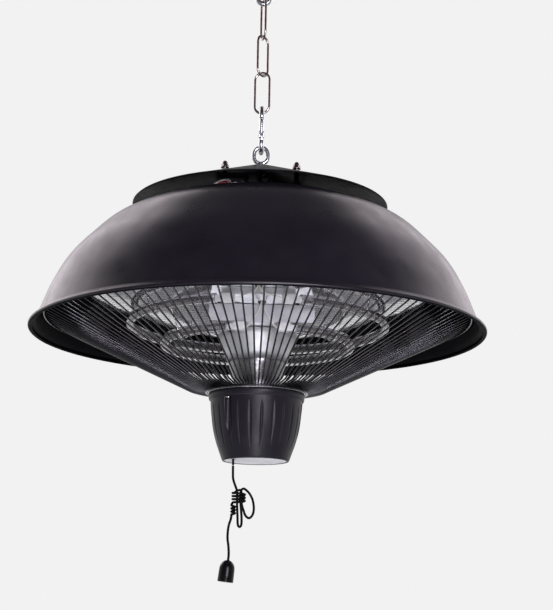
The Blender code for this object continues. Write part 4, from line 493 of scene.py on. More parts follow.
def sheet_rows(points: Sequence[tuple[float, float]], wall: float) -> list[tuple[float, float]]:
    """Closed outline of bent sheet.

    Args:
        points: Radius and height down the outer side.
        wall: Thickness of the sheet.

    Returns:
        The outer side, then the inner side back up.
    """
    inner = []
    for number, (radius, height) in enumerate(points):
        before, after = Vector(points[max(number - 1, 0)]), Vector(points[min(number + 1, len(points) - 1)])
        along = (after - before).normalized()
        inner.append((radius + along.y * wall, height - along.x * wall))
    return list(points) + inner[::-1]


def smooth(route: Sequence[Sequence[float]], span: float) -> list[Vector]:
    """Places on a smooth curve, a Catmull-Rom spline, through a route.

    Args:
        route: Places in the plane or in space.
        span: About how far apart the new places are.

    Returns:
        The places, both ends included.
    """
    knots = [Vector(place) for place in route]
    knots = [knots[0] * 2 - knots[1]] + knots + [knots[-1] * 2 - knots[-2]]
    path = []
    for number in range(1, len(knots) - 2):
        a, b, c, d = knots[number - 1:number + 3]
        count = max(1, round((c - b).length / span))
        for part in range(count):
            t = part / count
            path.append((b * 2 + (c - a) * t + (a * 2 - b * 5 + c * 4 - d) * t ** 2
                         + (b * 3 - a - c * 3 + d) * t ** 3) / 2)
    return path + [knots[-2]]


def tube(path: Sequence[Vector], radius: float | Sequence[float], sides: int, closed: bool = False) -> Mesh:
    """Round tube along a path, with a UV map that has turns across and metres along.

    Args:
        path: Places of the centreline.
        radius: One radius, or one for each place.
        sides: Faces round the tube.
        closed: Whether the path runs back into its start.

    Returns:
        The mesh.
    """
    places = [Vector(place) for place in path]
    count = len(places)
    radii = [radius] * count if isinstance(radius, (int, float)) else list(radius)
    shape = bmesh.new()
    layer = shape.loops.layers.uv.new("run")
    across = Vector((0, 0, 0))
    rings, travel, run = [], [0.0], 0.0
    for number, place in enumerate(places):
        before = places[(number - 1) % count] if closed or number else place
        after = places[(number + 1) % count] if closed or number < count - 1 else place
        along = (after - before).normalized()
        if not across.length:
            across = along.orthogonal().normalized()
        across = (across - along * across.dot(along)).normalized()
        side = along.cross(across)
        rings.append([shape.verts.new(place + (across * math.cos(2 * math.pi * turn / sides)
                                               + side * math.sin(2 * math.pi * turn / sides)) * radii[number])
                      for turn in range(sides)])
        if number:
            run += (place - places[number - 1]).length
            travel.append(run)
    spans = [(number, number + 1) for number in range(count - 1)] + ([(count - 1, 0)] if closed else [])
    for here, there in spans:
        end = travel[here] + (places[there] - places[here]).length
        for turn in range(sides):
            after = (turn + 1) % sides
            face = shape.faces.new((rings[here][turn], rings[here][after], rings[there][after], rings[there][turn]))
            for loop, where in zip(face.loops, ((turn, travel[here]), (turn + 1, travel[here]),
                                                (turn + 1, end), (turn, end))):
                loop[layer].uv = (where[0] / sides, where[1])
    if not closed:
        shape.faces.new(rings[0][::-1])
        shape.faces.new(rings[-1])
    return finished(shape, 50)


def rounded_tips(path: Sequence[Vector], radius: float) -> tuple[list[Vector], list[float]]:
    """Path and radii of a wire with rounded ends.

    Args:
        path: Places of the centreline.
        radius: Radius of the wire.

    Returns:
        The path with more places at its ends, and a radius for each place.
    """
    shares = ((0.0, 0.35), (0.12, 0.66), (0.3, 0.87), (0.55, 0.97))
    first, last = (path[1] - path[0]).normalized(), (path[-2] - path[-1]).normalized()
    head = [path[0] + first * radius * reach for reach, _ in shares]
    tail = [path[-1] + last * radius * reach for reach, _ in shares][::-1]
    widths = [radius * share for _, share in shares]
    return head + list(path[1:-1]) + tail, widths + [radius] * (len(path) - 2) + widths[::-1]


def slab(outline: Sequence[tuple[float, float]], width: float, frame: Matrix, edge: float = 0.0002) -> Mesh:
    """Flat outline in a frame's XZ plane, drawn out along its Y, with softened edges.

    Args:
        outline: Corners in the plane.
        width: How far it is drawn out.
        frame: Where it stands.
        edge: Width of the softened edges.

    Returns:
        The mesh.
    """
    shape = bmesh.new()
    face = shape.faces.new([shape.verts.new((x, -width / 2, z)) for x, z in outline])
    raised = bmesh.ops.extrude_face_region(shape, geom=[face])
    lifted = [element for element in raised["geom"] if isinstance(element, bmesh.types.BMVert)]
    bmesh.ops.translate(shape, vec=(0, width, 0), verts=lifted)
    bmesh.ops.recalc_face_normals(shape, faces=shape.faces)
    if edge:
        rims = [rim for rim in shape.edges if rim.calc_face_angle(0.0) > math.radians(40)]
        bmesh.ops.bevel(shape, geom=rims, offset=edge, segments=2, affect="EDGES", profile=0.6)
    shape.transform(frame)
    return finished(shape)


def block(size: Sequence[float], centre: Sequence[float], edge: float) -> Mesh:
    """Box with softened edges.

    Args:
        size: Its three sizes.
        centre: Its centre in the world.
        edge: Width of the softened edges.

    Returns:
        The mesh.
    """
    x, z = size[0] / 2, size[2] / 2
    return slab([(-x, -z), (x, -z), (x, z), (-x, z)], size[1], Matrix.Translation(centre), edge)


def merged(*meshes: Mesh) -> Mesh:
    """Join meshes.

    Args:
        meshes: The meshes, which are removed.

    Returns:
        One mesh of them all.
    """
    shape = bmesh.new()
    for data in meshes:
        shape.from_mesh(data)
        bpy.data.meshes.remove(data)
    return finished(shape, 0)


def moved(data: Mesh, frame: Matrix) -> Mesh:
    """The same mesh, moved by a frame."""
    data.transform(frame)
    return data


def lathe(rows: Sequence[Row], steps: int, frame: Matrix, closed: bool = False) -> Mesh:
    """Turn an outline about a frame's own Z axis, its heights measured from the frame."""
    return moved(revolve(rows, steps, closed), frame @ Matrix.Translation((0, 0, -RIM_Z)))


def near(edge: bmesh.types.BMEdge, place: Vector) -> bool:
    """Whether an edge lies within a tube's reach of a place."""
    return (edge.verts[0].co - place).length < 0.01


def pipe(path: Sequence[Vector], radius: float, bore: float, sides: int) -> Mesh:
    """Hollow tube along a path, closed between its outer and its inner wall at both ends.

    Args:
        path: Places of the centreline.
        radius: Outer radius.
        bore: Inner radius.
        sides: Faces round each wall.

    Returns:
        The mesh.
    """
    shape = bmesh.new()
    for reach in (radius, bore):
        data = tube(path, reach, sides)
        wall = bmesh.new()
        wall.from_mesh(data)
        bmesh.ops.delete(wall, geom=[face for face in wall.faces if len(face.verts) == sides], context="FACES_ONLY")
        if reach == bore:
            bmesh.ops.reverse_faces(wall, faces=wall.faces)
        wall.to_mesh(data)
        wall.free()
        shape.from_mesh(data)
        bpy.data.meshes.remove(data)
    rims = [edge for edge in shape.edges if edge.is_boundary]
    for end in (path[0], path[-1]):
        bmesh.ops.bridge_loops(shape, edges=[edge for edge in rims if near(edge, end)])
    return finished(shape, 50)


def arc(centre: tuple[float, float], radius: float, start: float, end: float, count: int) -> list[Vector]:
    """Places on an arc in the XZ plane, from one angle to another."""
    turns = [start + (end - start) * number / (count - 1) for number in range(count)]
    return [Vector((centre[0] + radius * math.cos(a), 0, centre[1] + radius * math.sin(a))) for a in turns]


def ray(azimuth: float, radius: float, height: float = 0.0) -> Matrix:
    """Frame at a place on a circle round the axis, X pointing outwards."""
    return Matrix.Rotation(azimuth, 4, "Z") @ Matrix.Translation((radius, 0, height))


def polar(azimuth: float, radius: float, height: float, aside: float = 0.0) -> Vector:
    """World place at an azimuth in degrees, moved aside along the circle."""
    return Matrix.Rotation(math.radians(azimuth), 4, "Z") @ Vector((radius, aside, at(height)))


def under_dish(radius: float) -> float:
    """Height of the dish's underside at a radius, outside its flat middle."""
    return FLAT_HEIGHT + (radius - FLAT_RADIUS) * DISH_SLOPE


def tenths(*rows: Sequence[int]) -> tuple[tuple[float, ...], ...]:
    """Rows of tenths of a millimetre, in metres."""
    return tuple(tuple(number / 10000 for number in row) for row in rows)


def hexagon(width: float) -> Callable[[float, float], float]:
    """Radius of a hexagon of a width across its flats, at each azimuth."""
    return lambda azimuth, height: width / 2 / math.cos((azimuth + math.pi / 6) % (math.pi / 3) - math.pi / 6)


def nut_rows(width: float, thickness: float, bore: float, foot: float) -> list[Row]:
    """Rows of a chamfered hexagon nut.

    Args:
        width: Width across flats.
        thickness: Its height.
        bore: Diameter of its hole.
        foot: Height of its lower face over the rim plane.

    Returns:
        Rows for revolve(), closed.
    """
    corner = hexagon(width)
    chamfer = (width / math.cos(math.pi / 6) - width) / 2 * 0.6
    bevel = 0.0004

    def cut(azimuth: float, height: float) -> float:
        """Radius inside the chamfer's cone."""
        return min(corner(azimuth, height), width / 2 * 1.01)

    top = foot + thickness
    return [(bore / 2 + bevel, top), (cut, top), (corner, top - chamfer), (corner, foot + chamfer), (cut, foot),
            (bore / 2 + bevel, foot), (bore / 2, foot + bevel), (bore / 2, top - bevel)]


def cut_with(data: Mesh, *tools: Mesh) -> Mesh:
    """Cut tools out of a mesh.

    Args:
        data: The mesh, which is removed.
        tools: Closed meshes, removed too.

    Returns:
        The mesh that is left.
    """
    body = linked("cut_body", data)
    cutters = [linked("cutter", tool) for tool in tools]
    for cutter in cutters:
        change = body.modifiers.new("cut", "BOOLEAN")
        change.operation, change.solver, change.object = "DIFFERENCE", "EXACT", cutter
    result = as_modified(body)
    for thing in [body, *cutters]:
        bpy.data.objects.remove(thing)
    shape = bmesh.new()
    shape.from_mesh(result)
    for old in (result, data, *tools):
        bpy.data.meshes.remove(old)
    return finished(shape)


def put(name: str, data: Mesh, looks: Finish | Sequence[Finish], *nodes: str, body: str = "heater") -> Object:
    """Set a piece in the scene on its body.

    Args:
        name: Name of the piece.
        data: Its mesh, in world places.
        looks: Its finish, or one for each material number of its faces.
        nodes: CAD nodes that it stands for.
        body: Body that it moves with.

    Returns:
        The piece's object.
    """
    thing = linked(name, data)
    data.name = name
    if data.materials:
        data.materials.clear()
    coats = [looks] if isinstance(looks, Finish) else looks
    for look in coats:
        data.materials.append(look.material())
    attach(thing, body)
    if nodes:
        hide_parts(*nodes)
    LOG.info("%s: %d faces on %s, for %s", name, len(data.polygons), body, ", ".join(nodes) or "no node")
    return thing


def new_tree(name: str, *numbers: str, whole: str = "") -> tuple[NodeTree, Sequence[NodeSocket]]:
    """Start a geometry tree that is given a Geometry, a Material and numbers.

    Args:
        name: Name of the tree.
        numbers: Names of the numbers.
        whole: Name of a whole number, if it is given one.

    Returns:
        The tree and the outputs of its input node.
    """
    tree = bpy.data.node_groups.new(name, "GeometryNodeTree")
    kinds = {"Geometry": "Geometry", "Material": "Material", **dict.fromkeys(numbers, "Float")}
    if whole:
        kinds[whole] = "Int"
    for label, kind in kinds.items():
        tree.interface.new_socket(label, in_out="INPUT", socket_type="NodeSocket" + kind)
    tree.interface.new_socket("Geometry", in_out="OUTPUT", socket_type="NodeSocketGeometry")
    return tree, add_node(tree, "NodeGroupInput").outputs


def close_tree(tree: NodeTree, shape: NodeSocket, look: NodeSocket) -> NodeTree:
    """End a geometry tree in real, smooth geometry with its material.

    Args:
        tree: The tree.
        shape: The geometry that it has made.
        look: The material that it was given.

    Returns:
        The tree.
    """
    soft = socket(tree, "GeometryNodeSetShadeSmooth", {"Geometry": shape, "Shade Smooth": True})
    real = socket(tree, "GeometryNodeRealizeInstances", {"Geometry": soft})
    dressed = socket(tree, "GeometryNodeSetMaterial", {"Geometry": real, "Material": look})
    add_node(tree, "NodeGroupOutput", {"Geometry": dressed})
    return tree


def swept(tree: NodeTree, curve: NodeSocket, wire: NodeSocket, sides: int, caps: bool = False) -> NodeSocket:
    """Round wire along a curve.

    Args:
        tree: The geometry tree.
        curve: The centreline.
        wire: Diameter of the wire.
        sides: Faces round it.
        caps: Whether its ends are closed.

    Returns:
        The wire's geometry.
    """
    rim = socket(tree, "GeometryNodeCurvePrimitiveCircle",
                 {"Resolution": sides, "Radius": calc(tree, "MULTIPLY", wire, 0.5)})
    return socket(tree, "GeometryNodeCurveToMesh", {"Curve": curve, "Profile Curve": rim, "Fill Caps": caps})


def grown(tree: NodeTree, look: Finish, values: dict[str, float], base: Mesh | None = None) -> Mesh:
    """Plain mesh that a geometry tree makes.

    Args:
        tree: The tree.
        look: Finish for its Material input.
        values: A value for each other named input.
        base: Mesh that the tree works on, which is removed.

    Returns:
        The mesh, with no modifier left.
    """
    thing = linked("grown", base or bpy.data.meshes.new("base"))
    change = thing.modifiers.new("grow", "NODES")
    change.node_group = tree
    for item in tree.interface.items_tree:
        if item.item_type == "SOCKET" and item.in_out == "INPUT" and item.name != "Geometry":
            change[item.identifier] = look.material() if item.name == "Material" else values[item.name]
    result, data = as_modified(thing), thing.data
    bpy.data.objects.remove(thing)
    bpy.data.meshes.remove(data)
    return result


class Trees:
    """The geometry trees that make what repeats or follows a rule."""

    def __init__(self) -> None:
        """Build each tree once."""
        self.circle = self.make_circle()
        self.ring = self.make_ring()
        self.coil = self.make_coil()
        self.link = self.make_link()

    def around(self, look: Finish, count: int, data: Mesh, start: float = 0.0, radius: float = 0.0) -> Mesh:
        """Copies of a mesh at even angles round the world's axis.

        Args:
            look: Their finish.
            count: How many there are.
            data: The mesh, which is removed.
            start: Azimuth of the first.
            radius: How far out each is moved.

        Returns:
            One mesh of all copies.
        """
        return grown(self.circle, look, {"Count": count, "Radius": radius, "Start": start}, data)

    @staticmethod
    def make_circle() -> NodeTree:
        """Make the tree that sets copies of a mesh on a circle, turned to face outwards.

        Returns:
            The tree.
        """
        tree, given = new_tree("copies_on_circle", "Radius", "Start", whole="Count")
        step = calc(tree, "DIVIDE", 2 * math.pi, given["Count"])
        angle = calc(tree, "MULTIPLY_ADD", socket(tree, "GeometryNodeInputIndex"), step, given["Start"])
        circle = socket(tree, "GeometryNodeMeshCircle", {"Vertices": given["Count"], "Radius": given["Radius"]})
        places = socket(tree, "GeometryNodeTransform",
                        {"Geometry": circle, "Rotation": vector(tree, z=given["Start"])})
        copies = socket(tree, "GeometryNodeInstanceOnPoints", {"Points": places, "Instance": given["Geometry"],
                                                               "Rotation": vector(tree, z=angle)})
        return close_tree(tree, copies, given["Material"])

    @staticmethod
    def make_ring() -> NodeTree:
        """Make the tree that makes a closed wire ring.

        Returns:
            The tree.
        """
        tree, given = new_tree("wire_ring", "Radius", "Wire", "Height")
        line = socket(tree, "GeometryNodeCurvePrimitiveCircle", {"Resolution": 180, "Radius": given["Radius"]})
        placed = socket(tree, "GeometryNodeTransform", {"Geometry": swept(tree, line, given["Wire"], 14),
                                                        "Translation": vector(tree, z=given["Height"])})
        return close_tree(tree, placed, given["Material"])

    @staticmethod
    def make_coil() -> NodeTree:
        """Make the tree that winds a coil of fine wire along an open ring.

        Returns:
            The tree.
        """
        steps = 8
        tree, given = new_tree("coil_in_ring", "Ring", "Coil", "Wire", "Height", "First", "Sweep", whole="Turns")
        count = calc(tree, "MULTIPLY", given["Turns"], float(steps))
        line = socket(tree, "GeometryNodeCurvePrimitiveLine")
        points = socket(tree, "GeometryNodeResampleCurve", {"Curve": line, "Count": count})
        index = socket(tree, "GeometryNodeInputIndex")
        theta = calc(tree, "MULTIPLY_ADD", calc(tree, "DIVIDE", index, count), given["Sweep"], given["First"])
        phi = calc(tree, "MULTIPLY", index, 2 * math.pi / steps)
        reach = calc(tree, "MULTIPLY_ADD", calc(tree, "COSINE", phi), given["Coil"], given["Ring"])
        level = calc(tree, "MULTIPLY_ADD", calc(tree, "SINE", phi), given["Coil"], given["Height"])
        across = [calc(tree, "MULTIPLY", calc(tree, wave, theta), reach) for wave in ("COSINE", "SINE")]
        wound = socket(tree, "GeometryNodeSetPosition",
                       {"Geometry": points, "Position": vector(tree, *across, level)})
        return close_tree(tree, swept(tree, wound, given["Wire"], 5, True), given["Material"])

    @staticmethod
    def make_link() -> NodeTree:
        """Make the tree that bends a link from wire, thicker where its ends are welded.

        Returns:
            The tree.
        """
        tree, given = new_tree("welded_link", "Width", "Length", "Wire", "Top", "Turn")
        width, length = (calc(tree, "SUBTRACT", given[size], given["Wire"]) for size in ("Width", "Length"))
        frame = socket(tree, "GeometryNodeCurvePrimitiveQuadrilateral", {"Width": width, "Height": length})
        # A hair under half the width, because a full half would leave edges of no length
        bent = socket(tree, "GeometryNodeFilletCurve",
                      {"Curve": frame, "Count": 14, "Radius": calc(tree, "MULTIPLY", width, 0.499)}, mode="POLY")
        even = socket(tree, "GeometryNodeResampleCurve", {"Curve": bent, "Count": 120})
        parts = add_node(tree, "ShaderNodeSeparateXYZ", {0: socket(tree, "GeometryNodeInputPosition")}).outputs
        swell = remap(tree, calc(tree, "ABSOLUTE", parts[1]), (0.0, 0.0014), (1.13, 1.0))
        line = socket(tree, "GeometryNodeSetCurveRadius", {"Curve": even, "Radius": swell})
        middle = calc(tree, "MULTIPLY_ADD", length, -0.5, given["Top"])
        placed = socket(tree, "GeometryNodeTransform",
                        {"Geometry": swept(tree, line, given["Wire"], 16), "Translation": vector(tree, z=middle),
                         "Rotation": vector(tree, math.pi / 2, z=given["Turn"])})
        return close_tree(tree, placed, given["Material"])


@dataclass
class Hanger:
    """Snap hooks, welded chain links and the eye bolt, from the ceiling down to the rain cap."""

    trees: Trees
    wire: float = 0.006
    length: float = 0.060
    top_width: float = 0.028
    foot_width: float = 0.021
    hinge_share: float = 0.20
    nose_share: float = 0.90
    gate_bar: float = 0.0045
    nose_play: float = 0.0005
    cheek: float = 0.0014
    ear: float = 0.0024
    fork: float = 0.0062
    tongue: float = 0.0022
    tongue_rise: float = 0.0034
    rivet: float = 0.0016
    rivet_head: float = 0.0030
    upper_top: float = 0.0026
    lower_top: float = -0.1857
    link_length: float = 0.0535
    link_width: float = 0.0206
    link_wire: float = 0.003
    link_tops: tuple[float, ...] = (-0.04605, -0.0931, -0.14015)
    link_turns: tuple[float, ...] = (-73.0, 47.0, -14.0)
    eye_top: float = -0.23375
    eye_wire: float = 0.005
    eye_width: float = 0.0217
    eye_length: float = 0.0246
    eye_foot: float = 0.2033
    shank_foot: float = 0.1465
    thread_pitch: float = 0.00125
    thread_radii: tuple[float, float] = (0.0040, 0.00355)
    nut_width: float = 0.013
    nut_height: float = 0.004
    nut_feet: tuple[tuple[str, float], ...] = (("upper", 0.1563), ("lower", 0.1482))

    def hook_line(self) -> tuple[list[Vector], Vector, Vector]:
        """Centreline of a snap hook.

        Returns:
            Its places, the gate's hinge and the nose.
        """
        top, foot = (self.top_width - self.wire) / 2, (self.foot_width - self.wire) / 2
        low = foot - (self.length - self.wire)
        lean = math.asin((top - foot) / (-top - low))
        side = Vector((-math.cos(lean), 0, -math.sin(lean)))
        side_top, side_foot = Vector((0, 0, -top)) + side * top, Vector((0, 0, low)) + side * foot
        hinge, nose = side_foot.lerp(side_top, self.hinge_share), side_foot.lerp(side_top, self.nose_share)
        path = [hinge] + arc((0, low), foot, math.pi + lean, 2 * math.pi - lean, 22)
        path += arc((0, -top), top, -lean, math.pi + lean, 26) + [nose]
        return path, hinge, nose

    def tag(self, reach: float, width: float, frame: Matrix) -> Mesh:
        """Flat bar, half round about the frame's origin, that runs along Z.

        Args:
            reach: How far it runs, downwards if negative.
            width: Its thickness.
            frame: Where it stands.

        Returns:
            The mesh.
        """
        facing = math.copysign(1, reach)
        turns = [math.pi * (1 + number / 16) for number in range(17)]
        outline = [(self.ear * math.cos(a), self.ear * math.sin(a) * facing) for a in turns]
        return slab(outline + [(self.ear, reach), (-self.ear, reach)], width, frame)

    def domed_pin(self, half: float, pivot: Vector) -> Mesh:
        """Rivet along Y with a domed head at each end.

        Args:
            half: Half its length inside the heads.
            pivot: Its middle.

        Returns:
            The mesh.
        """
        head, body, rise = self.rivet_head / 2, self.rivet / 2, 0.0005
        cap = [(0, half + rise), (head * 0.5, half + rise * 0.85), (head * 0.85, half + rise * 0.45), (head, half)]
        rows = cap + [(body, half), (body, -half)] + [(radius, -height) for radius, height in cap[::-1]]
        return lathe(rows, 24, Matrix.Translation(pivot) @ Matrix.Rotation(math.pi / 2, 4, "X"))

    def hook(self, which: str, top: float, turn: float) -> None:
        """Make one snap hook and its gate.

        Args:
            which: upper or lower.
            top: World height of the bow's centreline.
            turn: Angle about Z in degrees.
        """
        place = Matrix.Translation((0, 0, top)) @ Matrix.Rotation(math.radians(turn), 4, "Z")
        path, hinge, nose = self.hook_line()
        along = (nose - hinge).normalized()
        pivot = hinge + along * self.tongue_rise
        frame = Matrix.Translation(pivot) @ Vector((0, 0, 1)).rotation_difference(along).to_matrix().to_4x4()
        across = self.tongue + 2 * GAP + 2 * self.cheek
        body = merged(tube(*rounded_tips(path, self.wire / 2), 20),
                      self.tag(-self.tongue_rise - 0.002, self.tongue, frame),
                      self.domed_pin(across / 2 + GAP, pivot))
        put(which + "_snap_hook_wire", moved(body, place), ZINC, which + "_snap_hook", body=which + "_hook")
        start = pivot + along * (self.ear + 3 * GAP)
        run = (nose - pivot).length - self.nose_play - self.ear - 3 * GAP
        bar = [start + along * run * share for share in (0, 0.3, 0.7, 1)]
        parts = [tube(*rounded_tips(bar, self.gate_bar / 2), 18)]
        for side in (-1, 1):
            shift = Matrix.Translation((0, side * (self.tongue / 2 + GAP + self.cheek / 2), 0))
            parts.append(self.tag(self.fork, self.cheek, frame @ shift))
        put(which + "_hook_gate_bar", moved(merged(*parts), place), ZINC, which + "_hook_gate", body=which + "_gate")

    def eye(self) -> None:
        """Make the eye with its flared foot and its threaded shank."""
        radius = (self.eye_width - self.eye_wire) / 2
        low = self.eye_top + self.eye_wire + radius - self.eye_length
        loop = arc((0, self.eye_top - radius), radius, 0, math.pi, 24)
        loop += arc((0, low), radius, math.pi, 2 * math.pi, 24)
        foot = self.eye_foot
        rows: list[Row] = [(0, foot + 0.0055), (0.0036, foot + 0.005), (0.0042, foot + 0.0036),
                           (0.0058, foot + 0.0024), (0.0080, foot + 0.0017), (0.0085, foot + 0.0012),
                           (0.0085, foot + 0.0002), (0.0083, foot), (0.004, foot)]
        height = foot - 0.001
        while height > self.shank_foot + self.thread_pitch:
            rows += [(self.thread_radii[0], height), (self.thread_radii[1], height - self.thread_pitch / 2)]
            height -= self.thread_pitch
        rows += [(0.0036, self.shank_foot), (0, self.shank_foot)]
        put("eye_bolt_with_thread", merged(tube(loop, self.eye_wire / 2, 22, True), revolve(rows, 28)), ZINC,
            "eye_bolt")
        bore = 2 * self.thread_radii[0]
        for which, start in self.nut_feet:
            nut = revolve(nut_rows(self.nut_width, self.nut_height, bore, start), 72, True)
            put(which + "_hexagon_nut", nut, ZINC, which + "_eye_bolt_nut")

    def build(self) -> None:
        """Make the whole hanger."""
        self.hook("upper", self.upper_top, 0)
        for number, (top, turn) in enumerate(zip(self.link_tops, self.link_turns)):
            name = str(len(self.link_tops) - number)
            link = grown(self.trees.link, NICKEL, {"Width": self.link_width, "Length": self.link_length,
                                                   "Wire": self.link_wire, "Top": top,
                                                   "Turn": math.radians(turn)})
            put("welded_link_" + name, link, NICKEL, "chain_link_" + name, body="link_" + name)
        self.hook("lower", self.lower_top, 90)
        self.eye()


@dataclass
class Canopy:
    """Rain cap on its studs, shade, and the plate that holds both."""

    trees: Trees
    cap_radius: float = 0.1483
    cap_edge: float = 0.1535
    cap_rise: float = 0.0495
    cap_flat: float = 0.014
    cap_sheet: float = 0.0014
    bolt_hole: float = 0.0043
    stud_circle: float = 0.058
    nut_foot: float = 0.1888
    shade_sheet: float = 0.0012
    bead: float = 0.0025
    rim: float = 0.2599
    side: tuple[tuple[float, float], ...] = (
        (0.0681, 0.1560), (0.1079, 0.1507), (0.1430, 0.1395), (0.1740, 0.1240), (0.2000, 0.0998),
        (0.2209, 0.0760), (0.2366, 0.0470), (0.2472, 0.0203), (0.2532, 0.0054))

    def cap(self) -> None:
        """Make the shallow cone with its softly folded edge."""
        top, radius, edge = self.cap_edge + self.cap_rise, self.cap_radius, self.cap_edge
        slope = self.cap_rise / (radius - self.cap_flat)
        points = [(self.bolt_hole, top), (self.cap_flat - 0.003, top), (self.cap_flat, top - 0.0004)]
        points += [(share, edge + (radius - share) * slope) for share in (0.018, 0.05, 0.09, 0.13, radius - 0.0016)]
        points += [(radius - 0.0005, edge + 0.0003), (radius, edge - 0.0002)]
        put("rain_cap_cone", revolve(sheet_rows(points, self.cap_sheet), 160, True), CAP_COAT, "rain_cap")
        foot, corner = self.nut_foot, hexagon(0.008)
        rows: list[Row] = [(0, foot + 0.0085), (0.0013, foot + 0.0083), (0.0024, foot + 0.0077),
                           (0.0032, foot + 0.0067), (0.0036, foot + 0.0055), (0.0037, foot + 0.0042),
                           (0.0040, foot + 0.0038), (corner, foot + 0.0034), (corner, foot + 0.0011),
                           (0.0047, foot + 0.0010), (0.0048, foot + 0.0002), (0.0047, foot), (0, foot)]
        nuts = self.trees.around(NICKEL, 4, revolve(rows, 48), EIGHTH, self.stud_circle)
        put("domed_cap_nuts", nuts, NICKEL, *["cap_nut_" + str(number) for number in range(1, 5)])

    def plate(self) -> None:
        """Make the mounting plate with its stepped studs, threaded where the nuts sit."""
        rows: list[Row] = [(self.bolt_hole, 0.1545), (0.0655, 0.1545), (0.066, 0.1542), (0.066, 0.1528),
                           (0.0655, 0.1525), (self.bolt_hole, 0.1525)]
        disc = revolve(rows, 96, True)
        stud: list[Row] = [(0, 0.1950), (0.0018, 0.1948)]
        height, pitch = 0.1944, 0.0007
        while height > 0.1845:
            stud += [(0.0020, height), (0.0017, height - pitch / 2)]
            height -= pitch
        stud += [(0.0020, 0.1839), (0.0028, 0.1839), (0.003, 0.1836), (0.003, 0.1508), (0.0027, 0.1505),
                 (0, 0.1505)]
        studs = self.trees.around(NICKEL, 4, revolve(stud, 24), EIGHTH, self.stud_circle)
        put("plate_with_studs", merged(disc, studs), NICKEL, "mounting_plate")

    def shade(self) -> None:
        """Make the spun shade with its rolled rim, coated outside, and duller inside with its darker colour painted
        shade.
        """
        points = [(self.bolt_hole, 0.1560), (0.030, 0.1560)]
        points += [tuple(place) for place in smooth(((0.050, 0.1562), *self.side), 0.006)]
        centre = self.rim - self.bead
        steps = 21
        for number in range(steps + 1):
            turn = math.pi / 2 - math.radians(240) * number / steps
            points.append((centre + self.bead * math.cos(turn), self.bead * (1 + math.sin(turn))))
        rows = sheet_rows(points, self.shade_sheet)
        # From the middle of the bead on, faces take the inner coat, whose darker colour is painted shade under the
        # bead and inside the shade
        dome = revolve(rows, 200, True, len(points) - (steps + 1) // 2)
        put("spun_shade", dome, (SHADE_COAT, SHADED_INNER_COAT), "dome_shade")
        place = ray(math.radians(LEAD_PASS), 0.0765, at(0.1545))
        ring: list[Row] = [(0.0028, 0.0018), (0.0052, 0.0022), (0.0058, 0.0016), (0.0058, 0.0010),
                           (0.0058, -0.0012), (0.0050, -0.0018), (0.0028, -0.0016)]
        put("lead_grommet", lathe(ring, 28, place, True), RUBBER)

    def build(self) -> None:
        """Make cap, plate and shade."""
        self.cap()
        self.plate()
        self.shade()


@dataclass(frozen=True)
class RingPlan:
    """Where one quartz ring lies, and how wide it is open at its front."""

    which: str
    radius: float
    height: float
    clock: float
    gap: float
    tube_radius: float = 0.006


INNER = RingPlan("inner", radius=0.106, height=-0.009, clock=2.2, gap=0.034)
OUTER = RingPlan("outer", radius=0.146, height=0.013, clock=0.0, gap=0.052)


@dataclass
class Reflector:
    """Spun dish, polished column and the duller sleeve under it."""

    dish_radius: float = 0.193
    dish_edge: float = 0.0375
    flat_radius: float = FLAT_RADIUS
    flat_height: float = FLAT_HEIGHT
    hole: float = 0.024
    sheet: float = 0.0008
    column_top: float = 0.045
    column_foot: float = 0.034
    column_low: float = -0.0295
    lip: float = 0.0037
    column_sheet: float = 0.001
    cable_hole: float = 0.0045
    waist: tuple[tuple[float, float], ...] = (
        (0.0324, -0.0265), (0.0324, -0.0325), (0.0295, -0.0400), (0.0258, -0.0495), (0.0242, -0.0570),
        (0.0235, -0.0645))

    def build(self) -> None:
        """Make dish, column and sleeve."""
        slope = (self.dish_edge - self.flat_height) / (self.dish_radius - self.flat_radius)
        reaches = [self.flat_radius + 0.001 + share * (self.dish_radius - self.flat_radius - 0.005)
                   for share in (0, 0.2, 0.4, 0.6, 0.8, 1)]
        upper = [(self.hole, self.flat_height), (self.flat_radius - 0.001, self.flat_height)]
        upper += [(reach, self.flat_height + (reach - self.flat_radius) * slope) for reach in reaches]
        upper += [(self.dish_radius - 0.0015, self.dish_edge + 0.0002), (self.dish_radius, self.dish_edge + 0.0024)]
        top = [(radius, height + self.sheet) for radius, height in upper]
        tools = []
        for plan in (INNER, OUTER):
            place = ray(math.radians(plan.clock - 90), plan.radius, at(0.022))
            hole = [(0, 0.02), (self.cable_hole, 0.02), (self.cable_hole, -0.02), (0, -0.02)]
            tools.append(lathe(hole, 32, place))
        put("spun_dish", cut_with(revolve(top + upper[::-1], 180, True), *tools), MIRROR, "reflector_dish")
        lip = self.lip
        outside = [(self.hole, lip), (self.column_top - 0.002, lip), (self.column_top, lip - 0.0016)]
        for share in (0.25, 0.5, 0.75, 1):
            outside.append((self.column_top + (self.column_foot - self.column_top) * share,
                            lip + (self.column_low - lip) * share))
        put("polished_column", revolve(sheet_rows(outside, self.column_sheet), 120, True), SATIN, "reflector_column")
        waist = [tuple(place) for place in smooth(self.waist, 0.0018)]
        put("drawn_sleeve", revolve(sheet_rows(waist, self.column_sheet), 120, True), SHEET, "column_sleeve")


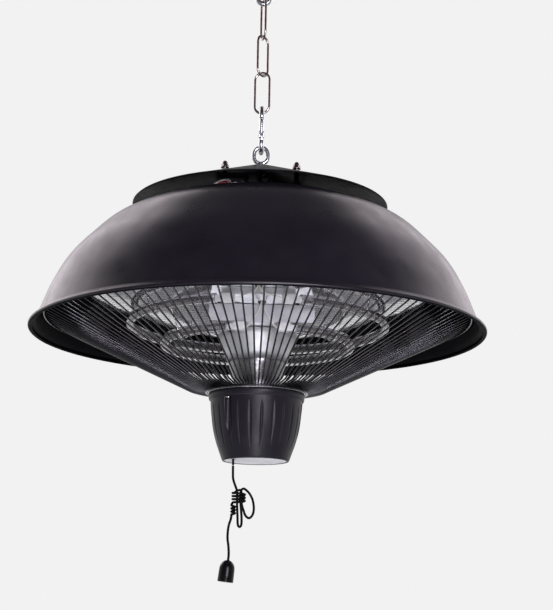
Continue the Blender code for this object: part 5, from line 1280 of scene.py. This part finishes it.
@dataclass
class HeatRing:
    """One open ring of quartz tube with its coil and its ceramic ends."""

    trees: Trees
    plan: RingPlan
    bore: float = 0.0048
    ceramic: tuple[float, float, float] = (0.011, 0.013, 0.0088)
    blade: tuple[float, float, float] = (0.0016, 0.010, 0.007)
    blade_sunk: float = 0.001
    rib_offset: float = 0.0032
    rib_width: float = 0.0014
    shoulder: float = 0.006
    coil_inset: float = 0.0042
    coil_radius: float = 0.0035
    coil_wire: float = 0.0007
    pitch: float = 0.0023

    def angle(self, run: float) -> float:
        """Angle of a run along the ring from its front."""
        return run / self.plan.radius

    def build(self) -> None:
        """Make tube, coil and ceramic ends."""
        plan, level = self.plan, at(self.plan.height)
        front = math.radians(plan.clock - 90)
        first = self.angle(plan.gap / 2 + self.ceramic[1] + self.shoulder)
        sweep = 2 * math.pi - 2 * first
        steps = 120
        turns = [front + first + sweep * number / steps for number in range(steps + 1)]
        path = [Vector((plan.radius * math.cos(a), plan.radius * math.sin(a), level)) for a in turns]
        put(plan.which + "_quartz_tube", pipe(path, plan.tube_radius, self.bore, 24), QUARTZ,
            plan.which + "_quartz_ring")
        start = self.angle(self.coil_inset)
        run = sweep - 2 * start
        coil = grown(self.trees.coil, COIL, {"Ring": plan.radius, "Coil": self.coil_radius,
                                             "Wire": self.coil_wire, "Height": level,
                                             "First": front + first + start, "Sweep": run,
                                             "Turns": int(run * plan.radius / self.pitch)})
        put(plan.which + "_coil", coil, COIL, plan.which + "_heating_winding")
        ends = []
        for side in (-1, 1):
            seat = ray(front + side * self.angle(plan.gap / 2 + self.ceramic[1] / 2), plan.radius, level)
            deep = front + side * self.angle(plan.gap / 2 + self.ceramic[1] + self.blade[1] / 2 - self.blade_sunk)
            ends.append(moved(block(self.ceramic, (0, 0, 0), 0.0007), seat))
            ends.append(moved(block(self.blade, (0, 0, 0), 0.0003), ray(deep, plan.radius, level)))
            for offset in (-self.rib_offset, self.rib_offset):
                rib = block((self.ceramic[0] + 0.0004, self.rib_width, self.ceramic[2] + 0.0002), (0, offset, 0),
                            0.0003)
                ends.append(moved(rib, seat))
        put(plan.which + "_steatite_ends", merged(*ends), STEATITE, plan.which + "_ceramic_left",
            plan.which + "_ceramic_right")


@dataclass
class RingSupports:
    """Bent wires that hang both quartz rings from the dish."""

    azimuths: tuple[float, ...] = (-140.0, -40.0, 90.0)
    wire: float = 0.0016
    spread: float = 0.0115

    def build(self) -> None:
        """Make the three wires."""
        tops = (INNER.radius - self.spread, (INNER.radius + OUTER.radius) / 2, OUTER.radius + self.spread)
        feet = [(top, under_dish(top - self.wire) - self.wire / 2 - GAP) for top in tops]
        for number, azimuth in enumerate(self.azimuths, 1):
            route = [feet[0]]
            for last, plan in zip(feet[1:], (INNER, OUTER)):
                cradle = plan.tube_radius + self.wire / 2 + GAP
                bend = arc((plan.radius, plan.height), cradle, math.pi, 2 * math.pi, 14)
                route += [(place.x, place.z) for place in bend] + [last]
            turn = Matrix.Rotation(math.radians(azimuth), 4, "Z")
            path = [turn @ Vector((across, 0, at(height))) for across, height in route]
            put("ring_hanger_" + str(number), tube(path, self.wire / 2, 10), ZINC, "ring_support_" + str(number))


@dataclass
class Guard:
    """Welded guard: 120 bent rods between an outer and an inner wire ring."""

    trees: Trees
    count: int = 120
    ring_radius: float = 0.243
    ring_height: float = 0.0175
    foot_radius: float = 0.057
    foot_height: float = -0.0645
    knee: tuple[float, float] = (0.080, -0.060)
    ring_wire: float = 0.003
    rod: float = 0.002
    # How deep a rod's end is melted into its ring
    weld: float = 0.0003
    tab: tuple[float, float, float] = (0.004, 0.012, 0.0055)
    tab_radius: float = 0.2433
    tab_height: float = 0.01575

    def build(self) -> None:
        """Make rods, rings and tabs as one welded piece."""
        start = (self.ring_radius - self.weld, self.ring_height)
        end = (self.foot_radius + self.weld, self.foot_height)
        knee = self.knee
        route = [start]
        for share in (0.3, 0.6, 0.85, 0.96):
            route.append(((1 - share) * start[0] + share * knee[0], (1 - share) * start[1] + share * knee[1]))
        route += [knee, ((knee[0] * 3 + end[0]) / 4, (knee[1] * 3 + end[1]) / 4), end]
        path = [Vector((radius, 0, at(height))) for radius, height in route]
        rod = tube(*rounded_tips(path, self.rod / 2), 8)
        rods = self.trees.around(GUARD, self.count, rod, math.pi / self.count)
        rings = [grown(self.trees.ring, GUARD, {"Radius": radius, "Wire": self.ring_wire, "Height": at(height)})
                 for radius, height in ((self.ring_radius, self.ring_height), (self.foot_radius, self.foot_height))]
        tab = block(self.tab, (self.tab_radius, 0, at(self.tab_height)), 0.0005)
        tabs = self.trees.around(GUARD, 4, tab, EIGHTH)
        put("welded_wire_guard", merged(rods, *rings, tabs), GUARD, "wire_guard")


@dataclass
class Cup:
    """Fluted cup with its screw channels, the collar over it and the pale disc under it."""

    trees: Trees
    top: float = -0.0663
    band_foot: float = -0.0738
    foot: float = -0.142
    top_radius: float = 0.0545
    band_radius: float = 0.0522
    foot_radius: float = 0.0375
    wall: float = 0.002
    side: tuple[tuple[float, float], ...] = ((0.0, 1.0), (0.15, 0.985), (0.45, 0.937), (0.68, 0.866), (0.86, 0.785))
    flutes: int = 24
    flute_depth: float = 0.0008
    flute_half: float = 0.0021
    flute_phase: float = 6.875
    flute_top: float = -0.079
    flute_foot: float = -0.131
    screw_circle: float = 0.0510
    channel_circle: float = 0.0504
    channel_radius: float = 0.0047
    channel_top: float = -0.0745
    channel_foot: float = -0.121
    channels: tuple[float, ...] = (-128.0, -8.0, 112.0)
    # Half the height of the step over a channel, and how far up it lies inside, as a share of the wall
    step_half: float = 0.00005
    step_share: float = 0.7
    spring_radius: float = 0.0033
    spring_wire: float = 0.0008
    spring_turns: int = 5
    spring_span: tuple[float, float] = (-0.1376, -0.1227)
    travel: float = 0.008

    def profile(self) -> list[tuple[float, float]]:
        """Plain side of the cup.

        Returns:
            Radius and height of each row, from the band down.
        """
        drop = self.band_foot - self.foot
        knots = [(self.band_radius * across, self.band_foot - drop * down) for down, across in self.side]
        return [tuple(place) for place in smooth(knots + [(self.foot_radius, self.foot)], 0.0014)]

    def skin(self, plain: float, inset: float = 0.0) -> Callable[[float, float], float]:
        """Radius of the cup with its flutes and channels.

        Args:
            plain: Radius of the plain side.
            inset: Thickness of the wall, for the inner side, which has no flutes.

        Returns:
            Radius at an azimuth and height.
        """
        def reach(azimuth: float, height: float) -> float:
            """Radius at one place of the side.

            Args:
                azimuth: Angle about the axis.
                height: Height over the rim plane.

            Returns:
                The radius.
            """
            radius = plain
            share = (self.flute_top - height) / (self.flute_top - self.flute_foot)
            if 0 < share < 1 and not inset:
                pitch = 2 * math.pi / self.flutes
                off = abs((azimuth - math.radians(self.flute_phase) + pitch / 2) % pitch - pitch / 2) * radius
                # The powers put its widest place above its middle and round its ends
                swell = math.sin(math.pi * share ** 0.75)
                half = max(self.flute_half * swell ** 0.6, 0.0001)
                radius -= self.flute_depth * swell ** 0.5 * max(0.0, 1 - off / half)
            if self.channel_foot - inset < height < self.channel_top + inset * self.step_share:
                for channel in self.channels:
                    off = self.channel_circle * math.sin(azimuth - math.radians(channel))
                    facing = math.cos(azimuth - math.radians(channel))
                    if abs(off) < self.channel_radius and facing > 0:
                        inner = self.channel_circle * facing - math.sqrt(self.channel_radius ** 2 - off ** 2)
                        radius = min(radius, inner)
            return radius - inset
        return reach

    def columns(self) -> list[float]:
        """Columns of the cup, closer together at the channels' edges.

        Returns:
            Their azimuths.
        """
        count = 24 * self.flutes
        turns = {round(2 * math.pi * number / count, 6) for number in range(count)}
        edge = math.asin(self.channel_radius / self.channel_circle)
        for channel in self.channels:
            for offset in (-1.01, -0.995, -0.97, 0.97, 0.995, 1.01):
                turns.add(round((math.radians(channel) + edge * offset) % (2 * math.pi), 6))
        return sorted(turns)

    def cup(self) -> None:
        """Make the fluted cup."""
        rows: list[Row] = [(self.top_radius - 0.0006, self.top), (self.top_radius, self.top - 0.0005),
                           (self.top_radius, self.top - 0.003),
                           (self.top_radius - 0.0005, self.band_foot + 0.0008),
                           (self.top_radius - 0.0010, self.band_foot + 0.0002)]
        plain = self.profile()
        for number, (radius, height) in enumerate(plain):
            rows.append((self.skin(radius), height))
            after = plain[number + 1][1] if number + 1 < len(plain) else -1
            if after < self.channel_top < height:
                rows += [(self.skin(radius), self.channel_top + part) for part in (self.step_half, -self.step_half)]
        rows[-1] = (self.foot_radius - 0.0004, self.foot)
        step = self.channel_top + self.wall * self.step_share
        rows += [(self.skin(radius, self.wall), height) for radius, height in plain[::-2] if height < step - 0.0003]
        rows += [(self.skin(self.band_radius, self.wall), step + part) for part in (-self.step_half, self.step_half)]
        rows.append((self.band_radius - self.wall, self.top))
        put("fluted_cup", revolve(rows, self.columns(), True), CUP_ABS, "cup_housing")

    def collar(self) -> None:
        """Make the collar plate and the cup's screws."""
        rows: list[Row] = [(0.0103, -0.0648), (0.0546, -0.0648), (0.0552, -0.0651), (0.0552, -0.0658),
                           (0.0548, -0.0660), (0.0103, -0.0660)]
        put("collar_disc", revolve(rows, 144, True), ZINC, "collar_plate")
        head: list[Row] = [(0.0, -0.0650), (0.0015, -0.0650), (0.0015, -0.0748), (0.0027, -0.0748),
                           (0.0029, -0.0752), (0.0029, -0.0760), (0.0022, -0.0768), (0.0007, -0.0768),
                           (0.0006, -0.0758), (0.0, -0.0758)]
        screws = self.trees.around(NICKEL, len(self.channels), revolve(head, 20),
                                   math.radians(self.channels[0]), self.screw_circle)
        put("cup_screws", screws, NICKEL, "cup_screw_1", "cup_screw_2", "cup_screw_3")

    def disc(self) -> None:
        """Make the pale disc with its shallow dish and the bush that the stem slides in."""
        top, foot, reach = -0.1396, -0.1416, 0.0352
        rows: list[Row] = [(0, top), (reach, top), (reach, foot + 0.0004), (reach - 0.0004, foot),
                           (reach - 0.0030, foot), (reach - 0.0036, foot + 0.0004), (0, foot + 0.0004)]
        hole = lathe([(0, 0.004), (0.0027, 0.004), (0.0027, -0.004), (0, -0.004)], 24,
                     Matrix.Translation((*STEM, at(-0.1406))))
        put("pale_bottom_disc", cut_with(revolve(rows, 96), hole), PALE_ABS, "cup_bottom_disc")
        aside = Matrix.Translation((*STEM, 0))
        bush: list[Row] = [(0.0017, -0.1383), (0.0032, -0.1383), (0.0034, -0.1386), (0.0034, -0.1393),
                           (0.0024, -0.1393), (0.0024, -0.1414), (0.0022, -0.1416), (0.0018, -0.1416)]
        put("stem_bush", moved(revolve(bush, 28, True), aside), RUBBER, "cord_bush")
        stem: list[Row] = [(0, -0.1105), (0.0030, -0.1105), (0.0032, -0.1108), (0.0032, -0.1120), (0.0014, -0.1120),
                           (0.0014, -0.1205), (0.0044, -0.1205), (0.0044, -0.1220), (0.0014, -0.1220),
                           (0.0014, -0.1471), (0.0013, -0.1476), (0.0010, -0.1481), (0.0005, -0.1484), (0, -0.1485)]
        put("pull_stem_rod", moved(revolve(stem, 24), aside), GLOSS_ABS, "pull_stem", body="pull")

    def spring(self) -> None:
        """Make the coiled spring under the stem's shoulder, at rest, though the real one shortens as the cord is
        pulled.
        """
        x, y = STEM
        steps = 24
        foot, top = self.spring_span
        places = []
        for number in range(self.spring_turns * steps + 1):
            share = number / self.spring_turns / steps
            # The end coils lie flat
            rise = min(max((share - 0.1) / 0.8, 0.0), 1.0)
            turn = 2 * math.pi * number / steps
            places.append(Vector((x + self.spring_radius * math.cos(turn), y + self.spring_radius * math.sin(turn),
                                  at(foot + (top - foot) * rise + 0.0001 * share))))
        coil = put("coiled_return_spring", tube(places, self.spring_wire / 2, 10), ZINC, "return_spring")
        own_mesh(coil)

    def build(self) -> None:
        """Make cup, collar, disc, bush, stem and spring."""
        self.cup()
        self.collar()
        self.disc()
        self.spring()


@dataclass
class TerminalBox:
    """Terminal box between shade and rain cap, with its cable gland."""

    trees: Trees
    width: float = 0.062
    depth: float = 0.019
    height: float = 0.0195
    centre_x: float = -0.019
    back_y: float = -0.0466
    wall: float = 0.0016
    mouth_share: float = 0.62
    mouth_past: float = 0.002
    foot: float = 0.1563
    gland: tuple[float, float] = (0.0055, 0.1660)
    gland_ribs: int = 16
    tie: tuple[float, float, float] = (-0.0362, -0.0592, 0.1669)
    tie_reach: tuple[float, float] = (0.0017, 0.0030)
    tie_strap: float = 0.0005

    def build(self) -> None:
        """Make box and gland."""
        centre_y = self.back_y - self.depth / 2
        middle = at(self.foot + self.height / 2)
        mouth = self.width * self.mouth_share
        cut = block((mouth, self.depth, self.height - 2 * self.wall),
                    (self.centre_x - self.width / 2 + mouth / 2 - self.mouth_past, centre_y - self.wall, middle), 0)
        box = cut_with(block((self.width, self.depth, self.height), (self.centre_x, centre_y, middle), 0.0008), cut)
        put("terminal_housing", box, DULL_ABS, "terminal_box")
        place = (Matrix.Translation((self.gland[0], self.back_y - self.depth - GAP, at(self.gland[1])))
                 @ Matrix.Rotation(math.pi / 2, 4, "X"))
        rows: list[Row] = [(0.0040, 0.0090), (0.0064, 0.0090), (0.0070, 0.0084), (0.0078, 0.0024), (0.0081, 0.0020),
                           (0.0081, 0.0004), (0.0077, 0.0), (0.0040, 0.0)]
        rib = moved(block((0.0008, 0.0012, 0.0056), (0.0073, 0, 0), 0.0002), Matrix.Translation((0, 0, 0.0056)))
        ribs = self.trees.around(GLOSS_ABS, self.gland_ribs, rib)
        put("ribbed_cable_gland", merged(lathe(rows, 48, place, True), moved(ribs, place)), GLOSS_ABS, "cable_gland")
        # A plain tie round the leads where they leave the box
        steps, (wide, high) = 24, self.tie_reach
        turns = [2 * math.pi * number / steps for number in range(steps)]
        middle = Vector((self.tie[0], self.tie[1], at(self.tie[2])))
        loop = [middle + Vector((0, wide * math.cos(a), high * math.sin(a))) for a in turns]
        put("lead_tie", tube(loop, self.tie_strap, 8, True), WHITE_SLEEVE)


@dataclass
class Wiring:
    """Power leads from the terminal box to the switch, and the rings' cables."""

    lead: float = 0.0022
    spacing: float = 0.0032
    core: float = 0.0015
    cable: float = 0.0034
    rise: float = 0.012
    pass_circle: float = 0.0185
    # Where the power leads leave the box, and where all wires enter the switch
    box_exit: tuple[float, float, float] = (-0.0340, -0.0570, 0.1668)
    power_entry: float = -0.01133
    switch_y: float = -0.005
    # Radius and height of places between the grommet and the centre tube
    way_down: tuple[tuple[float, float], ...] = ((0.0765, 0.1494), (0.0474, 0.103), (0.026, 0.0468))
    pass_heights: tuple[float, ...] = (0.0171, -0.0069, -0.0495, -0.0682)

    def power(self) -> None:
        """Make the live and the neutral lead."""
        for number, (name, look) in enumerate((("live", RED_SLEEVE), ("neutral", WHITE_SLEEVE))):
            aside = (number - 0.5) * self.spacing
            start = Vector((self.box_exit[0], self.box_exit[1], at(self.box_exit[2] + aside * 0.8)))
            route = [start, start + Vector((-0.0050, -0.0040, 0.0002)),
                     Vector((-0.0450 - aside, -0.0645, at(0.1644 + aside * 0.4))),
                     Vector((-0.0520 - aside, -0.0620, at(0.1606))), polar(LEAD_PASS, 0.0775, 0.1580, aside)]
            route += [polar(LEAD_PASS, radius, height, aside) for radius, height in self.way_down]
            route += [polar(LEAD_PASS, self.pass_circle, height, aside) for height in self.pass_heights]
            route += [Vector((self.power_entry, self.switch_y - aside, at(height))) for height in (-0.0868, -0.0887)]
            put(name + "_sleeve", tube(smooth(route, 0.003), self.lead / 2, 12), look, name + "_lead")

    def lamp(self, plan: RingPlan, home: float, end: float) -> None:
        """Make a ring's cable with its two cores.

        Args:
            plan: The ring.
            home: Azimuth of its pass, in degrees.
            end: Where it enters the switch, along X.
        """
        front, radius = plan.clock - 90, plan.radius
        through = under_dish(radius)
        cores = []
        for side in (-1, 1):
            aside = side * self.spacing / 2
            route = [polar(front + side * math.degrees((plan.gap / 2 - inset) / radius), radius, plan.height)
                     for inset in (GAP, self.lead)]
            route += [polar(front, radius, (plan.height + through) / 2 - 0.001, side * 0.0062),
                      polar(front, radius, through - self.lead, aside * 0.8),
                      polar(front, radius, through + self.lead, aside * 0.6),
                      polar(front, radius, through + self.rise, aside / 4),
                      polar(front, radius - self.lead, through + self.rise + self.lead, aside / 4)]
            cores.append(tube(smooth(route, 0.0025), self.core / 2, 12))
        high = through + self.rise
        route = [polar(front, radius, high - self.lead), polar(front, radius * 0.96, high + self.lead),
                 polar(front, radius * 0.7, high), polar(home, 0.035, 0.0241)]
        route += [polar(home, self.pass_circle, height) for height in (0.0171, -0.0069, -0.0682)]
        route += [Vector((end, self.switch_y, at(height))) for height in (-0.0857, -0.0887)]
        put(plan.which + "_lamp_flex", merged(tube(smooth(route, 0.003), self.cable / 2, 14), *cores), WHITE_SLEEVE,
            plan.which + "_lamp_cable")

    def build(self) -> None:
        """Make all leads."""
        self.power()
        self.lamp(INNER, -62, -0.0006)
        self.lamp(OUTER, -20, 0.0078)


@dataclass
class PullCord:
    """Braided pull cord, its slack tied up in a hank, and the bell on its end."""

    diameter: float = 0.0027
    upper: tuple[tuple[float, ...], ...] = tenths(
        (-248, -140, -1488), (-248, -140, -1515), (-247, -140, -1575), (-244, -140, -1630), (-230, -140, -1678),
        (-214, -146, -1720))
    strands: tuple[tuple[float, ...], ...] = tenths(
        (-198, -162, -1784), (-195, -169, -1820), (-195, -169, -1870), (-194, -170, -1925), (-190, -174, -1990),
        (-186, -176, -2060), (-183, -176, -2125), (-174, -176, -2156), (-158, -176, -2164), (-143, -176, -2138),
        (-141, -176, -2075), (-147, -173, -1995), (-154, -168, -1925), (-156, -166, -1870), (-156, -166, -1800),
        (-150, -164, -1757), (-123, -152, -1740), (-88, -134, -1762), (-56, -123, -1796), (-28, -118, -1848),
        (-13, -118, -1906), (-9, -118, -1968), (-22, -118, -2025), (-58, -118, -2061), (-98, -118, -2036),
        (-122, -119, -1978), (-140, -121, -1924), (-149, -123, -1870), (-149, -123, -1815), (-150, -119, -1772),
        (-160, -104, -1752), (-188, -87, -1755), (-217, -88, -1773))
    # Each winding: its middle and top, radius, pitch, turns, places in a turn, and first angle
    wraps: tuple[float, ...] = (-0.0178, -0.0140, -0.1786, 0.0068, 0.0034, 3, 16, 150)
    tail: tuple[float, ...] = (-0.0236, -0.0140, -0.1925, 0.0020, 0.0034, 3, 8, 180)
    lower: tuple[tuple[float, ...], ...] = tenths(
        (-254, -150, -2039), (-262, -150, -2085), (-272, -148, -2112), (-283, -144, -2155), (-290, -141, -2215),
        (-291, -140, -2290), (-280, -140, -2370), (-275, -140, -2440))
    bell_place: tuple[float, float, float] = (-0.0280, -0.0140, -0.2524)
    bell_tilt: float = 6.5
    bell_length: float = 0.0235
    bell_radius: float = 0.0088

    @staticmethod
    def helix(x: float, y: float, height: float, radius: float, pitch: float, turns: int, points: int,
              start: float) -> list[tuple[float, float, float]]:
        """Places on a helix that winds down.

        Args:
            x: Its axis along X.
            y: Its axis along Y.
            height: Height of its start.
            radius: Its radius.
            pitch: How far one turn goes down.
            turns: How many turns it has.
            points: Places in one turn.
            start: Angle of its start in degrees.

        Returns:
            The places.
        """
        places = []
        for number in range(turns * points + 1):
            turn = math.radians(start) + 2 * math.pi * number / points
            places.append((x + radius * math.cos(turn), y + radius * math.sin(turn), height - pitch * number / points))
        return places

    def bell_frame(self) -> Matrix:
        """Frame of the bell, its top at the origin."""
        x, y, height = self.bell_place
        return Matrix.Translation((x, y, at(height))) @ Matrix.Rotation(math.radians(self.bell_tilt), 4, "Y")

    def path(self) -> list[Vector]:
        """Centreline of the whole cord.

        Returns:
            Places from the stem's ball into the bell.
        """
        end, before = Vector(self.upper[-1]), Vector(self.upper[-2])
        turn_in = end + (end - before).normalized() * (self.diameter + GAP)
        route = [*self.upper, tuple(turn_in), *self.strands, *self.helix(*self.wraps), (-0.0251, -0.0122, -0.1904),
                 *self.helix(*self.tail), *self.lower]
        places = [Vector((x, y, at(height))) for x, y, height in route]
        frame = self.bell_frame()
        places += [frame @ Vector((0, 0, self.diameter)), frame @ Vector((0, 0, -0.0027))]
        return smooth(places, 0.0015)

    def build(self) -> None:
        length, reach = self.bell_length, self.bell_radius
        rows: list[Row] = [(0.0016, -0.0002), (0.0022, 0.0)]
        rows += [(reach * across, -length * down) for across, down in
                 ((0.36, 0.016), (0.50, 0.046), (0.64, 0.096), (0.76, 0.155), (0.86, 0.22), (0.93, 0.30),
                  (0.965, 0.40), (0.985, 0.70), (1.0, 0.985), (0.985, 1.0))]
        rows += [(reach * 0.84, -length), (reach * 0.80, -length * 0.96), (reach * 0.72, -length * 0.6),
                 (reach * 0.5, -length * 0.42), (0.0016, -length * 0.38)]
        bell = put("moulded_bell", lathe(rows, 48, self.bell_frame(), True), GLOSS_ABS, "pull_bell", body="cord")
        path = self.path()
        cord = put("braided_pull_cord", tube(path, self.diameter / 2, 14), CORD, "pull_cord_upper", "pull_cord_hank",
                   "pull_cord_lower", body="cord")


CARRIED: dict[str, Finish] = {
    "centre_tube": SHEET, "hub_plate": SHEET, "inner_end_bracket": ALUMINISED, "outer_end_bracket": ALUMINISED,
    "switch_bracket": SHEET, "centre_tube_nut": ZINC, "switch_body": DULL_ABS,
    "switch_lever": PALE_ABS, "terminal_block": STEATITE,
}


def dress_carried(frame: dict) -> None:
    """Give every CAD node that stays its finish.
    """
    for node, look in CARRIED.items():
        for slot in frame["nodes"][node].material_slots:
            slot.material = look.material()
        LOG.info("%s: kept, in %s", node, look.name)


class Shot(Enum):
    """Which side a soft lamp stands on."""

    LEFT = (-1.3, 1.1, 1.2)
    RIGHT = (1.3, 1.1, 1.15)
    NEAR = (0.45, -1.95, 0.0)
    LOW = (0.1, -1.9, -1.1)
    BELOW = (0.0, -0.2, -1.65)


@dataclass
class Studio:
    """Pale floor and background, soft lamps, and the camera at the photograph's place."""

    lens: float = 84.1
    place: tuple[float, float, float] = (0.0, -1.5987, -0.320)
    pitch: float = 12.63
    yaw: float = 0.75
    roll: float = 0.88
    floor: float = -3.4
    pale: str = "#F2F2F2"
    ambient: float = 0.5
    near_side: float = 0.12

    def camera(self) -> None:
        """Set the camera where the photograph was taken from."""
        pitch, yaw, roll = (math.radians(angle) for angle in (self.pitch, self.yaw, self.roll))
        forward = Vector((math.sin(yaw) * math.cos(pitch), math.cos(yaw) * math.cos(pitch), math.sin(pitch)))
        right = Vector((math.cos(yaw), -math.sin(yaw), 0))
        above = right.cross(forward)
        across = right * math.cos(roll) + above * math.sin(roll)
        upward = above * math.cos(roll) - right * math.sin(roll)
        data = bpy.data.cameras.new("camera")
        data.lens, data.sensor_width, data.clip_end = self.lens, 36.0, 30.0
        camera = linked("camera", data)
        turn = Matrix((across, upward, -forward)).transposed().to_4x4()
        camera.matrix_world = Matrix.Translation((self.place[0], self.place[1], at(self.place[2]))) @ turn
        bpy.context.scene.camera = camera

    def world(self) -> None:
        """Set a pale background that metal and glass show too, at a plain level for the light."""
        world = bpy.data.worlds.new("studio")
        bpy.context.scene.world = world
        world.use_nodes = True
        tree = world.node_tree
        tree.nodes.clear()
        seen, mirrored = ray_kinds(tree)
        # The far side of the studio, which gloss mirrors, is pale, and the near side is a dark room
        parts = add_node(tree, "ShaderNodeSeparateXYZ",
                         {0: add_node(tree, "ShaderNodeTexCoord").outputs["Generated"]}).outputs
        depth = remap(tree, parts[1], (-0.55, 0.25), (self.near_side, 1.0))
        lid = remap(tree, parts[2], (0.15, 0.7), (1.0, self.near_side))
        dim = calc(tree, "MAXIMUM", calc(tree, "MULTIPLY", depth, lid), seen)
        light = socket(tree, "ShaderNodeBackground", {"Color": linear("#EDEDF0"), "Strength": self.ambient})
        pale = socket(tree, "ShaderNodeBackground", {"Color": linear(self.pale), "Strength": dim})
        mixed = socket(tree, "ShaderNodeMixShader", {0: calc(tree, "MAXIMUM", seen, mirrored), 1: light,
                                                     2: pale})
        add_node(tree, "ShaderNodeOutputWorld", {"Surface": mixed})

    def lamp(self, shot: Shot, size: float, power: float, tint: str) -> None:
        """Set a soft lamp that faces the heater.

        Args:
            shot: Where it stands.
            size: Width of its face in metres.
            power: Watts.
            tint: Colour of its light.
        """
        data = bpy.data.lights.new(shot.name.lower() + "_softbox", "AREA")
        data.shape, data.size, data.energy = "SQUARE", size, power
        data.color = linear(tint)[:3]
        lamp = linked(data.name, data)
        target = Vector((0, 0, at(0.05)))
        lamp.location = target + Vector(shot.value)
        lamp.rotation_euler = (target - lamp.location).to_track_quat("-Z", "Y").to_euler()

    def build(self) -> None:
        """Set floor, lamps, background and camera."""
        shape = bmesh.new()
        bmesh.ops.create_circle(shape, cap_ends=True, segments=96, radius=9.0)
        bmesh.ops.translate(shape, vec=(0, 0, self.floor), verts=shape.verts)
        floor = linked("studio_floor", finished(shape))
        floor.data.materials.append(FLOOR.material())
        floor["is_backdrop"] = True
        for shot, size, power, tint in ((Shot.LEFT, 1.7, 18, "#FFF3FB"), (Shot.RIGHT, 1.7, 13.5, "#FFF3FB"),
                                        (Shot.NEAR, 0.8, 32, "#F7F2FF"), (Shot.LOW, 0.5, 14, "#FFFFFF"),
                                        (Shot.BELOW, 1.0, 10, "#FFFFFF")):
            self.lamp(shot, size, power, tint)
        self.world()
        self.camera()
        bpy.context.scene.view_settings.view_transform = "Standard"


def corners() -> list[list[float]]:
    """Lowest and highest corner of what is shown, as plain lists."""
    bpy.context.view_layer.update()
    return [list(corner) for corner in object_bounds()]


def main() -> None:
    """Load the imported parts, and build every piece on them."""
    logging.basicConfig(level=logging.INFO, format="%(name)s %(message)s")
    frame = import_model()
    cad_box = corners()
    Studio().build()
    trees = Trees()
    PullCord().build()
    Hanger(trees).build()
    Canopy(trees).build()
    Reflector().build()
    for plan in (INNER, OUTER):
        HeatRing(trees, plan).build()
    RingSupports().build()
    Guard(trees).build()
    Cup(trees).build()
    TerminalBox(trees).build()
    Wiring().build()
    dress_carried(frame)
    {"cad": cad_box, "visual": corners()}


if __name__ == "__main__":
    main()
